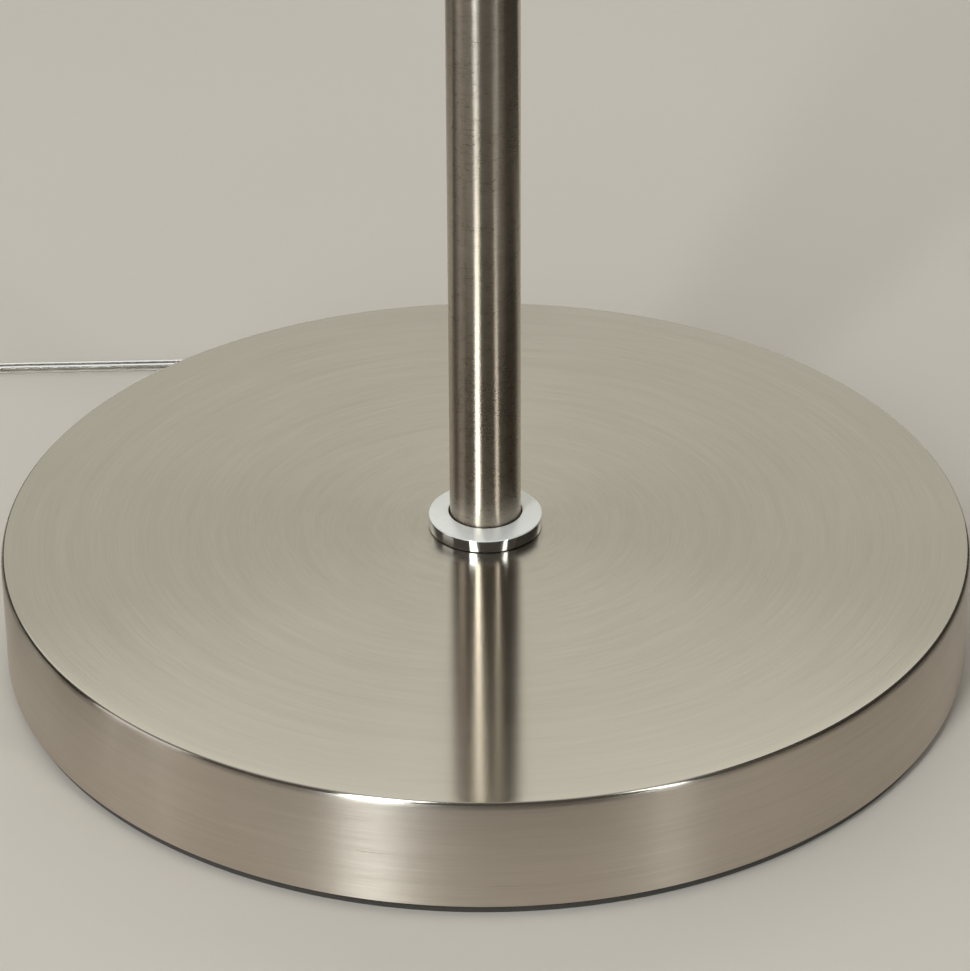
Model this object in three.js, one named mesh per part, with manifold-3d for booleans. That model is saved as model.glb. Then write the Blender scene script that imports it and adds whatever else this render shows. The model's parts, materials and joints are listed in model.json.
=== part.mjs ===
// Torchiere floor lamp: a round pressed base, a three-part tube pole and a glass uplighter bowl,
// with a flat twin lead that carries a foot switch and a plug.
// Millimetres, +Z up. The origin is on the floor, at the centre of the base.

import * as THREE from "three";
import { mergeVertices } from "three/addons/utils/BufferGeometryUtils.js";
import Module from "manifold-3d";

const wasm = await Module();
wasm.setup();

// ---------------------------------------------------------------- driving dimensions

const GAP = 0.3; // between pieces that touch

const BASE_RADIUS = 150;
const BASE_RIM_HEIGHT = 38.5;
const BASE_CROWN = 1.3; // rise of the cover's top from the rim to the centre
const BASE_EDGE_ROUND = 2.2;
const COVER_WALL = 1.2;
const COVER_BOTTOM = 3;
const PLATE_THICKNESS = 1.2;
const PAD_THICKNESS = COVER_BOTTOM - GAP;
const PAD_INNER = 112;
const PAD_OUTER = 148.4;
const WEIGHT_RADIUS = 144;
const WEIGHT_THICKNESS = 13;
const POST_CIRCLE = 103;
const POST_RADIUS = 8;
const PLATE_HOLE = 14; // radius of the plate's centre hole, where the flex turns up
const NIPPLE_BOTTOM = 15;
const CLAMP_RADIUS = 122; // distance of the flex clamp from the axis

const POLE_RADIUS = 11;
const POLE_WALL = 1;
const SECTION_LENGTH = 535;
const JOINT_RING_HEIGHT = 4;
const JOINT_RING_RADIUS = 12;
const INSERT_LENGTH = 18;
const NIPPLE_RADIUS = 5; // M10 x 1 threaded tube
const NIPPLE_BORE = 3.7;
const STUD_LENGTH = 46;
const FOOT_RING_RADIUS = 17.7;
const FOOT_RING_HEIGHT = 4.2;
const FOOT_RING_CONE = 1.1; // the ring's top rises by this towards the pole

const BOWL_RADIUS = 175;
const BOWL_DEPTH = 115;
const BOWL_WALL = 4;
const BOWL_FLAT = 32; // radius of the flat bottom of the glass
const CUP_RADIUS = 54;
const CUP_FOOT = 13.5;
const CUP_HEIGHT = 29;

const FLEX_WIDTH = 4.9; // flat twin flex
const FLEX_THICKNESS = 2.45;
const FLEX_LIE = FLEX_THICKNESS / 2 + 0.15; // height of its centre where it lies on the floor
const EXIT_ANGLE = THREE.MathUtils.degToRad(117); // from +X, so 27 degrees to the left of the back
const EXIT_HEIGHT = 11.5;
const RELIEF_LENGTH = 22;

const SWITCH_PLACE = new THREE.Vector3(-240, -6, 0);
const SWITCH_LENGTH = 78;
const SWITCH_WIDTH = 36;
const SWITCH_BASE_HEIGHT = 7;
const SWITCH_TOP = 20;
const SWITCH_WALL = 1.8;
const BUTTON_RADIUS = 11;
const BUTTON_TOP = 24;

const COIL_PLACE = new THREE.Vector3(-210, -125, 0);
const COIL_MEAN_RADIUS = 26.5;
const COIL_THICKNESS = 12.6;
const COIL_HEIGHT = 9.9;
const COIL_BOTTOM = 1.4;
const TIE_THICKNESS = 0.8;
const TIE_WIDTH = 6;

const PLUG_PLACE = new THREE.Vector3(-196, -17, 0); // centre of the plug's front face, on the floor
const PLUG_WIDTH = 35.3;
const PLUG_THICKNESS = 13.7;
const PLUG_LENGTH = 36;
const PLUG_BOOT = 20;
const PIN_SPACING = 18.4;
const PIN_RADIUS = 2;
const PIN_LENGTH = 19;

// ---------------------------------------------------------------- derived levels

const coverTop = BASE_RIM_HEIGHT + BASE_CROWN;
const plateTop = COVER_BOTTOM + PLATE_THICKNESS;
const weightTop = BASE_RIM_HEIGHT - COVER_WALL - 0.4;
const weightBottom = weightTop - WEIGHT_THICKNESS;
const poleFoot = coverTop + 0.4;
const sectionStep = SECTION_LENGTH + JOINT_RING_HEIGHT + 2 * GAP;
const poleTop = poleFoot + 2 * sectionStep + SECTION_LENGTH;
const cupBottom = poleTop + GAP;
const seatBottom = cupBottom + CUP_HEIGHT - 1.5;
const bowlBottom = seatBottom + 3;
const holderBottom = bowlBottom + 12.9;
const exitDirection = new THREE.Vector3(Math.cos(EXIT_ANGLE), Math.sin(EXIT_ANGLE), 0);

// ---------------------------------------------------------------- materials

function finish(name, colour, roughness, metalness = 0, more = {}) {
  return new THREE.MeshStandardMaterial({ name, color: colour, roughness, metalness, ...more });
}

const satinNickel = () => finish("satin_nickel", 0xb3ab9d, 0.34, 1);
const chrome = () => finish("chrome", 0xd8d8d4, 0.06, 1);
const castIron = () => finish("cast_iron", 0x3b3a38, 0.8, 0.6);
const steel = () => finish("zinc_steel", 0x9d9c98, 0.45, 1);
const brass = () => finish("brass", 0xb5934d, 0.35, 1);
const blackPaint = () => finish("black_paint", 0x202020, 0.6, 0.2);
const felt = () => finish("felt", 0x2a2a2b, 0.95);
const clearPvc = () => finish("clear_pvc", 0xcfd0cb, 0.18, 0, { transparent: true, opacity: 0.55 });
const whitePlastic = () => finish("white_plastic", 0xe6e4de, 0.35);
const greyPlastic = () => finish("grey_plastic", 0x9b9b98, 0.4);
const blackPlastic = () => finish("black_plastic", 0x1d1d1e, 0.45);
const silicone = () => finish("silicone", 0xe3e2dd, 0.6);
const opalGlass = () => finish("opal_glass", 0xf3efe6, 0.3, 0, { transparent: true, opacity: 0.85 });

// ---------------------------------------------------------------- geometry helpers

const lamp = new THREE.Group();

function add(name, geometry, material, parent = lamp) {
  const mesh = new THREE.Mesh(geometry, material);
  mesh.name = name;
  parent.add(mesh);
  return mesh;
}

function shared(geometry) {
  const bare = new THREE.BufferGeometry();
  bare.setAttribute("position", geometry.getAttribute("position"));
  bare.setIndex(geometry.getIndex());
  return mergeVertices(bare, 1e-3);
}

function solid(geometry) {
  const bare = shared(geometry);
  const vertProperties = new Float32Array(bare.getAttribute("position").array);
  const triVerts = new Uint32Array(bare.getIndex().array);
  return new wasm.Manifold(new wasm.Mesh({ numProp: 3, vertProperties, triVerts }));
}

function geometryOf(manifold) {
  const mesh = manifold.getMesh();
  const geometry = new THREE.BufferGeometry();
  geometry.setAttribute("position", new THREE.BufferAttribute(mesh.vertProperties, 3));
  geometry.setIndex(new THREE.BufferAttribute(mesh.triVerts, 1));
  geometry.computeVertexNormals();
  return geometry;
}

function cut(geometry, ...cutters) {
  return geometryOf(cutters.reduce((left, cutter) => left.subtract(solid(cutter)), solid(geometry)));
}

function join(geometry, ...others) {
  return geometryOf(others.reduce((whole, other) => whole.add(solid(other)), solid(geometry)));
}

function common(geometry, other) {
  return geometryOf(solid(geometry).intersect(solid(other)));
}

// Turns [radius, height] points round the Z axis. The points run anticlockwise, with the
// radius to the right and the height up, so that the faces point out.
function turned(points, segments) {
  const profile = points.map(([radius, height]) => new THREE.Vector2(radius, height));
  return new THREE.LatheGeometry(profile, segments).rotateX(Math.PI / 2);
}

function closed(points) {
  return [...points, points[0]];
}

function ring(inner, outer, bottom, top, segments = 16) {
  const points = [[inner, bottom], [outer, bottom], [outer, top], [inner, top]];
  return turned(closed(points), segments);
}

function disc(radius, bottom, top, segments = 16) {
  return turned([[0, bottom], [radius, bottom], [radius, top], [0, top]], segments);
}

function arc(centre, radii, from, to, steps) {
  const points = [];
  for (let i = 0; i <= steps; i++) {
    const angle = THREE.MathUtils.degToRad(from + ((to - from) * i) / steps);
    points.push([centre[0] + radii[0] * Math.cos(angle), centre[1] + radii[1] * Math.sin(angle)]);
  }
  return points;
}

function box(size, centre) {
  return new THREE.BoxGeometry(...size).translate(...centre);
}

function polygon(points) {
  return new THREE.Shape(points.map(([x, y]) => new THREE.Vector2(x, y)));
}

function slab(outline, bottom, top) {
  const depth = top - bottom;
  return new THREE.ExtrudeGeometry(outline, { depth, bevelEnabled: false }).translate(0, 0, bottom);
}

function hexNut(acrossFlats, bore, bottom, top) {
  const corner = acrossFlats / Math.sqrt(3);
  const corners = [...Array(6).keys()].map((i) => (i * Math.PI) / 3);
  const outline = polygon(corners.map((a) => [corner * Math.cos(a), corner * Math.sin(a)]));
  return cut(slab(outline, bottom, top), disc(bore, bottom - 1, top + 1));
}

// Outline with straight sides along Y and round ends.
function oblong(length, width, steps) {
  const radius = width / 2;
  const middle = length / 2 - radius;
  const ends = [
    ...arc([0, middle], [radius, radius], 0, 180, steps),
    ...arc([0, -middle], [radius, radius], 180, 360, steps),
  ];
  return polygon(ends);
}

// Section of the flat flex: x is its thickness and y its width.
function flexSection(spare = 0) {
  const points = [];
  for (let i = 0; i < 8; i++) {
    const angle = ((i + 0.5) * Math.PI) / 4;
    const reach = 1 / Math.cos(Math.PI / 8);
    points.push([
      (FLEX_THICKNESS / 2 + spare) * THREE.MathUtils.clamp(reach * Math.cos(angle), -1, 1),
      (FLEX_WIDTH / 2 + spare) * THREE.MathUtils.clamp(reach * Math.sin(angle), -1, 1),
    ]);
  }
  return polygon(points);
}

// A route for the flat flex: its wide side stays level, or along a given direction.
class FlexRoute extends THREE.CatmullRomCurve3 {
  constructor(points, wideSide) {
    super(points.map((p) => new THREE.Vector3(...p)), false, "centripetal");
    this.wideSide = wideSide;
  }
  computeFrenetFrames(steps) {
    const up = new THREE.Vector3(0, 0, 1);
    const frames = { tangents: [], normals: [], binormals: [] };
    for (let i = 0; i <= steps; i++) {
      const tangent = this.getTangentAt(i / steps);
      const wide = this.wideSide ?? new THREE.Vector3().crossVectors(tangent, up).normalize();
      frames.tangents.push(tangent);
      frames.binormals.push(wide);
      frames.normals.push(new THREE.Vector3().crossVectors(wide, tangent));
    }
    return frames;
  }
}

function flex(points, steps, wideSide) {
  const extrudePath = new FlexRoute(points, wideSide);
  return new THREE.ExtrudeGeometry(flexSection(), { steps, extrudePath });
}

function screw(name, headRadius, headHeight, shankRadius, length, material, parent = lamp) {
  const profile = [
    [0, 0],
    [headRadius * 0.75, 0],
    [headRadius, headHeight * 0.5],
    [headRadius, headHeight],
    [shankRadius, headHeight],
    [shankRadius, length - shankRadius],
    [0, length],
  ];
  return add(name, turned(profile, 12), material, parent);
}

// ---------------------------------------------------------------- base

// Height of the cover's top: nearly flat, and falling away over the last part to the rim.
function crown(radius) {
  const share = radius / (BASE_RADIUS - BASE_EDGE_ROUND);
  return BASE_RIM_HEIGHT + BASE_CROWN * (1 - share ** 4);
}

function makeBase() {
  const hole = NIPPLE_RADIUS + GAP;
  const inner = BASE_RADIUS - COVER_WALL;
  const radii = [134, 100, 50, hole];
  const edge = BASE_RADIUS - BASE_EDGE_ROUND;
  const innerRound = BASE_EDGE_ROUND - COVER_WALL;
  const cover = turned(
    closed([
      [inner, COVER_BOTTOM],
      [BASE_RADIUS, COVER_BOTTOM],
      ...arc([edge, BASE_RIM_HEIGHT - BASE_EDGE_ROUND], [BASE_EDGE_ROUND, BASE_EDGE_ROUND], 0, 90, 2),
      ...radii.map((r) => [r, crown(r)]),
      ...radii.toReversed().map((r) => [r, crown(r) - COVER_WALL]),
      [inner - innerRound, BASE_RIM_HEIGHT - COVER_WALL],
      [inner, BASE_RIM_HEIGHT - COVER_WALL - innerRound],
    ]),
    40,
  );
  const wallHole = new THREE.CylinderGeometry(5, 5, 30, 12)
    .rotateZ(Math.PI / 2)
    .translate(BASE_RADIUS, 0, 0)
    .rotateZ(EXIT_ANGLE)
    .translate(0, 0, EXIT_HEIGHT);
  add("base_cover", cut(cover, wallHole), satinNickel());

  let weight = cut(
    disc(WEIGHT_RADIUS, weightBottom, weightTop, 40),
    disc(hole + 0.3, weightBottom - 1, weightTop + 1),
  );
  let plate = ring(PLATE_HOLE, BASE_RADIUS - COVER_WALL - 0.4, COVER_BOTTOM, plateTop, 40);
  for (let i = 0; i < 3; i++) {
    const angle = Math.PI * (0.5 / 3 + (2 * i) / 3);
    const place = [POST_CIRCLE * Math.cos(angle), POST_CIRCLE * Math.sin(angle), 0];
    const post = disc(POST_RADIUS, plateTop + GAP, weightBottom + 1, 12).translate(...place);
    const tapped = disc(2.1, plateTop, plateTop + 13, 12).translate(...place);
    weight = cut(join(weight, post), tapped);
    plate = cut(plate, disc(2.1, PAD_THICKNESS, plateTop + 1, 12).translate(...place));
    screw(`plate_screw_${i + 1}`, 3.8, 0.8, 1.8, 12, steel()).position.set(...place).setZ(COVER_BOTTOM - 1.1);
  }
  add("base_weight", weight, castIron());
  add("base_plate", plate, blackPaint());
  add("base_pad", ring(PAD_INNER, PAD_OUTER, 0, PAD_THICKNESS, 40), felt());

  const washerTop = weightBottom - GAP;
  add("clamp_washer", ring(hole, 16, washerTop - 2, washerTop), steel());
  add("clamp_nut", hexNut(17, hole, washerTop - 7.3, washerTop - 2 - GAP), steel());
  add("base_nipple", ring(NIPPLE_BORE, NIPPLE_RADIUS, NIPPLE_BOTTOM, poleFoot + 20), steel());

  makeGrommet();
  makeFlexClamp();
}

// Tapered strain relief, with a flange inside the wall and one outside.
function makeGrommet() {
  const tip = RELIEF_LENGTH;
  const body = turned(
    [
      [0, -5.5],
      [5.6, -5.5],
      [6.4, -4.7],
      [6.4, -1.8],
      [4.6, -1.8],
      [4.6, 0.4],
      [6.2, 0.4],
      [6.2, 2.4],
      [5, 4],
      [3.5, tip - 0.4],
      [3.1, tip],
      [0, tip],
    ],
    16,
  );
  const bore = slab(flexSection(GAP), -8, tip + 2);
  const grommet = add("cord_grommet", cut(body, bore), clearPvc());
  grommet.position.copy(exitDirection).multiplyScalar(BASE_RADIUS).setZ(EXIT_HEIGHT);
  grommet.quaternion.setFromRotationMatrix(radialFrame());
}

// Frame whose z points out of the base along the lead, and whose x points up.
function radialFrame() {
  const up = new THREE.Vector3(0, 0, 1);
  const side = new THREE.Vector3().crossVectors(exitDirection, up);
  return new THREE.Matrix4().makeBasis(up, side, exitDirection);
}

// Saddle on the bottom plate that grips the flex behind the strain relief.
function makeFlexClamp() {
  const height = EXIT_HEIGHT + 4 - plateTop - GAP;
  const block = box([12, 14, height], [0, 0, plateTop + GAP + height / 2]);
  const bore = slab(flexSection(GAP), -10, 10)
    .rotateY(Math.PI / 2)
    .translate(0, 0, EXIT_HEIGHT);
  const clamp = add("flex_clamp", cut(block, bore), blackPlastic());
  clamp.position.copy(exitDirection).multiplyScalar(CLAMP_RADIUS);
  clamp.rotation.z = EXIT_ANGLE;
}

// ---------------------------------------------------------------- pole

function makePole() {
  const bottom = crown(FOOT_RING_RADIUS) + 0.25;
  const top = coverTop + FOOT_RING_HEIGHT;
  const inner = POLE_RADIUS + GAP;
  add(
    "foot_ring",
    turned(
      closed([
        [inner, bottom],
        [FOOT_RING_RADIUS - 0.3, bottom],
        [FOOT_RING_RADIUS, bottom + 0.3],
        [FOOT_RING_RADIUS, top - 0.5],
        [FOOT_RING_RADIUS - 0.5, top],
        [inner + 0.4, top + FOOT_RING_CONE],
        [inner, top + FOOT_RING_CONE - 0.4],
      ]),
      32,
    ),
    chrome(),
  );

  ["lower", "middle", "upper"].forEach((name, i) => {
    const foot = poleFoot + i * sectionStep;
    const head = foot + SECTION_LENGTH;
    const plug = POLE_RADIUS - POLE_WALL - GAP;
    const bore = NIPPLE_RADIUS + GAP;
    add(`pole_${name}`, ring(POLE_RADIUS - POLE_WALL, POLE_RADIUS, foot, head, 24), satinNickel());
    add(`${name}_foot_insert`, ring(bore, plug, foot, foot + INSERT_LENGTH), steel());
    add(`${name}_head_insert`, ring(bore, plug, head - INSERT_LENGTH, head), steel());
    if (i < 2) {
      const middle = head + GAP + JOINT_RING_HEIGHT / 2;
      const half = JOINT_RING_HEIGHT / 2;
      const outer = JOINT_RING_RADIUS;
      const profile = [
        [bore, middle - half],
        [outer - 0.6, middle - half],
        [outer, middle - half + 0.6],
        [outer, middle + half - 0.6],
        [outer - 0.6, middle + half],
        [bore, middle + half],
      ];
      add(`joint_ring_${name}`, turned(closed(profile), 24), chrome());
      const [low, high] = [middle - STUD_LENGTH / 2, middle + STUD_LENGTH / 2];
      add(`joint_stud_${name}`, ring(NIPPLE_BORE, NIPPLE_RADIUS, low, high), steel());
    }
  });
}

// The flex inside the lamp: in through the strain relief, along the base and up the pole.
function makeInnerFlex() {
  const from = BASE_RADIUS + RELIEF_LENGTH;
  const bend = [
    [from, EXIT_HEIGHT],
    [150, EXIT_HEIGHT],
    [112, EXIT_HEIGHT],
    [80, plateTop + 5.3],
    [40, plateTop + 2.7],
    [14, plateTop + 2.2],
    [5, plateTop + 3.3],
    [0.8, plateTop + 6.3],
    [0, NIPPLE_BOTTOM - 0.5],
  ];
  const wideSide = new THREE.Vector3(exitDirection.y, -exitDirection.x, 0);
  const inBase = bend.map(([r, z]) => [r * exitDirection.x, r * exitDirection.y, z]);
  const inPole = [[0, 0, NIPPLE_BOTTOM - 0.5 + GAP], [0, 0, holderBottom + 5.4]];
  add("base_flex", flex(inBase, 32, wideSide), clearPvc());
  add("pole_flex", flex(inPole, 2, wideSide), clearPvc());
}

// ---------------------------------------------------------------- head

function makeHead() {
  const hole = NIPPLE_RADIUS + GAP;
  add("head_nipple", ring(NIPPLE_BORE, NIPPLE_RADIUS, poleTop - 16, holderBottom + 5), steel());

  const wall = 1.2;
  const lip = CUP_RADIUS - wall;
  const flare = [lip - CUP_FOOT, CUP_HEIGHT - 8];
  const centre = [lip, cupBottom + 5];
  add(
    "bowl_cup",
    turned(
      closed([
        [hole, cupBottom],
        [CUP_FOOT, cupBottom],
        ...arc(centre, flare, 180, 90, 4),
        [CUP_RADIUS, cupBottom + CUP_HEIGHT - 3],
        [CUP_RADIUS, cupBottom + CUP_HEIGHT],
        [lip, cupBottom + CUP_HEIGHT],
        ...arc([lip, centre[1]], [flare[0] - wall, flare[1] + wall], 90, 180, 4),
        [CUP_FOOT + wall, cupBottom + 2],
        [hole, cupBottom + 2],
      ]),
      28,
    ),
    satinNickel(),
  );
  add("bowl_seat", ring(hole, lip - 0.5, seatBottom, seatBottom + 1.2, 28), steel());
  add("gasket_lower", ring(hole + 0.2, 30, seatBottom + 1.5, seatBottom + 2.7), silicone());

  // The glass is part of a sphere that passes the edge of the flat bottom and the rim.
  const lift = (BOWL_RADIUS ** 2 + BOWL_DEPTH ** 2 - BOWL_FLAT ** 2) / (2 * BOWL_DEPTH);
  const outer = Math.hypot(BOWL_FLAT, lift);
  const inner = outer - BOWL_WALL;
  const polar = (height, radius) => THREE.MathUtils.radToDeg(Math.asin((height - lift) / radius));
  const middle = [0, bowlBottom + lift];
  add(
    "glass_bowl",
    turned(
      closed([
        [7, bowlBottom],
        ...arc(middle, [outer, outer], polar(0, outer), polar(BOWL_DEPTH, outer), 7),
        ...arc(middle, [inner, inner], polar(BOWL_DEPTH, inner), polar(BOWL_WALL, inner), 7),
        [7, bowlBottom + BOWL_WALL],
      ]),
      36,
    ),
    opalGlass(),
  );

  const floor = bowlBottom + BOWL_WALL + GAP;
  add("gasket_upper", ring(hole + 0.2, 24, floor, floor + 1.2), silicone());
  add("bowl_washer", ring(hole, 22, floor + 1.5, floor + 3.2), steel());
  add("bowl_nut", hexNut(17, hole, floor + 3.5, holderBottom - GAP), steel());
  makeHolder();
  makeBulb();
}

// Lampholder: a cap on the threaded tube, the insert with the contacts, and the skirt.
function makeHolder() {
  const z = holderBottom;
  const hole = NIPPLE_RADIUS + GAP;
  add(
    "holder_cap",
    turned(
      closed([
        [hole, z],
        [14, z],
        [19.6, z + 6],
        [19.6, z + 16],
        [18, z + 16],
        [18, z + 7],
        [13, z + 2],
        [hole, z + 2],
      ]),
      24,
    ),
    blackPlastic(),
  );
  const post = disc(7, z + 6.5, z + 12, 16);
  add("holder_insert", join(disc(17.5, z + 9, z + 15, 24), post), whitePlastic());
  add(
    "holder_skirt",
    turned(
      closed([
        [15, z + 16.4],
        [19.6, z + 16.4],
        [20, z + 18],
        [20, z + 36],
        [19, z + 42],
        [15, z + 42],
      ]),
      24,
    ),
    blackPlastic(),
  );
  const spring = polygon([[-4.5, 0], [3.6, 0], [3.6, 0.6], [-1, 0.6], [2.8, 3], [2.4, 3.5], [-4.5, 0.6]]);
  const strip = slab(spring, -2, 2).rotateX(Math.PI / 2);
  add("contact_centre", strip, brass()).position.set(0, 0, z + 15.3);
  const side = polygon([[12.2, 0], [14.4, 0], [14.4, 9], [13.8, 9], [13.8, 0.6], [12.2, 0.6]]);
  add("contact_side", slab(side, -2.5, 2.5).rotateX(Math.PI / 2), brass()).position.set(0, 0, z + 15.3);
}

// Golf-ball bulb with an E27 cap.
function makeBulb() {
  const z = holderBottom + 19.4;
  const thread = [];
  for (let turn = 0; turn < 5; turn++) {
    thread.push([12.6, z + 4 + 3.6 * turn], [13.2, z + 5.8 + 3.6 * turn]);
  }
  add("bulb_tip", turned([[0, z], [3.4, z], [4.6, z + 1], [4.6, z + 1.8], [0, z + 1.8]], 16), brass());
  const shell = [[0, z + 2.1], [6.4, z + 2.1], ...thread, [12.6, z + 23], [0, z + 23]];
  add("bulb_thread", turned(shell, 20), steel());
  const collar = [
    [0, z + 23.3],
    [13.2, z + 23.3],
    [14.4, z + 27],
    [18.6, z + 38],
    [18.6, z + 40],
    [0, z + 40],
  ];
  add("bulb_collar", turned(collar, 20), whitePlastic());
  const radius = 22.3;
  const centre = z + 40.3 + Math.sqrt(radius ** 2 - 18.4 ** 2);
  const start = THREE.MathUtils.radToDeg(Math.asin((z + 40.3 - centre) / radius));
  const globe = [[0, z + 40.3], ...arc([0, centre], [radius, radius], start, 90, 8)];
  globe[globe.length - 1][0] = 0;
  add("bulb_globe", turned(globe, 20), opalGlass());
}

// ---------------------------------------------------------------- foot switch

function makeSwitch() {
  const unit = new THREE.Group();
  unit.position.copy(SWITCH_PLACE);
  lamp.add(unit);

  const split = SWITCH_BASE_HEIGHT + GAP / 2;
  const innerLength = SWITCH_LENGTH - 2 * SWITCH_WALL;
  const innerWidth = SWITCH_WIDTH - 2 * SWITCH_WALL;
  const leadWay = slab(flexSection(2 * GAP), -SWITCH_LENGTH, SWITCH_LENGTH)
    .rotateX(Math.PI / 2)
    .rotateY(Math.PI / 2)
    .translate(0, 0, split);
  const screwPlaces = [[11, 24], [-11, -24]];

  const round = 3;
  const body = new THREE.ExtrudeGeometry(oblong(SWITCH_LENGTH - 2 * round, SWITCH_WIDTH - 2 * round, 8), {
    depth: SWITCH_TOP - round,
    bevelSize: round,
    bevelThickness: round,
    bevelSegments: 3,
  });
  const room = [SWITCH_WIDTH + 2, SWITCH_LENGTH + 2, SWITCH_TOP];
  const lower = box(room, [0, 0, SWITCH_BASE_HEIGHT - SWITCH_TOP / 2]);
  const upper = box(room, [0, 0, SWITCH_BASE_HEIGHT + GAP + SWITCH_TOP / 2]);
  const floor = new THREE.ExtrudeGeometry(oblong(SWITCH_LENGTH - 2, SWITCH_WIDTH - 2, 8), {
    depth: SWITCH_TOP,
    bevelSize: 1,
    bevelThickness: 1,
    bevelSegments: 1,
  }).translate(0, 0, 1);
  const cavity = oblong(innerLength, innerWidth, 8);

  let tray = cut(common(floor, lower), slab(cavity, 2, SWITCH_TOP), leadWay);
  let cover = cut(
    common(body, upper),
    slab(cavity, 0, SWITCH_TOP - SWITCH_WALL),
    disc(BUTTON_RADIUS + GAP, SWITCH_BASE_HEIGHT, SWITCH_TOP + 1, 20),
    leadWay,
  );
  screwPlaces.forEach(([x, y], i) => {
    const post = disc(3.2, 2 + GAP, SWITCH_TOP - SWITCH_WALL + 0.5, 12).translate(x, y, 0);
    cover = cut(join(cover, post), disc(1.6, 0, 14, 12).translate(x, y, 0));
    tray = cut(tray, disc(1.6, -1, 3, 12).translate(x, y, 0), disc(3.2, -1, 1.3, 12).translate(x, y, 0));
    screw(`switch_screw_${i + 1}`, 2.8, 0.7, 1.2, 12, steel(), unit).position.set(x, y, GAP);
  });
  add("switch_base", tray, whitePlastic(), unit);
  add("switch_cover", cover, whitePlastic(), unit);

  const flange = SWITCH_TOP - SWITCH_WALL - GAP;
  const button = [
    [0, 12.4],
    [3, 12.4],
    [3, flange - 1.8],
    [BUTTON_RADIUS + 1.6, flange - 1.8],
    [BUTTON_RADIUS + 1.6, flange],
    [BUTTON_RADIUS, flange],
    [BUTTON_RADIUS, BUTTON_TOP - 2],
    [BUTTON_RADIUS - 0.8, BUTTON_TOP - 0.8],
    [BUTTON_RADIUS - 3, BUTTON_TOP],
    [0, BUTTON_TOP],
  ];
  add("switch_button", turned(button, 20), greyPlastic(), unit);
  add("switch_block", box([18, 28, 5.6], [0, 0, 2.3 + 2.8]), blackPlastic(), unit);
  add("switch_spring", springGeometry(5.6, 0.45, 8.8, flange - 2.6, 4), steel(), unit);
}

class Helix extends THREE.Curve {
  constructor(radius, bottom, top, turns) {
    super();
    Object.assign(this, { radius, bottom, top, turns });
  }
  getPoint(t, target = new THREE.Vector3()) {
    const angle = 2 * Math.PI * this.turns * t;
    const height = this.bottom + (this.top - this.bottom) * t;
    return target.set(this.radius * Math.cos(angle), this.radius * Math.sin(angle), height);
  }
}

function springGeometry(radius, wire, bottom, top, turns) {
  const section = polygon(arc([0, 0], [wire, wire], 0, 288, 4));
  const extrudePath = new Helix(radius, bottom, top, turns);
  return new THREE.ExtrudeGeometry(section, { steps: 9 * turns, extrudePath });
}

// ---------------------------------------------------------------- lead and plug

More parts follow.
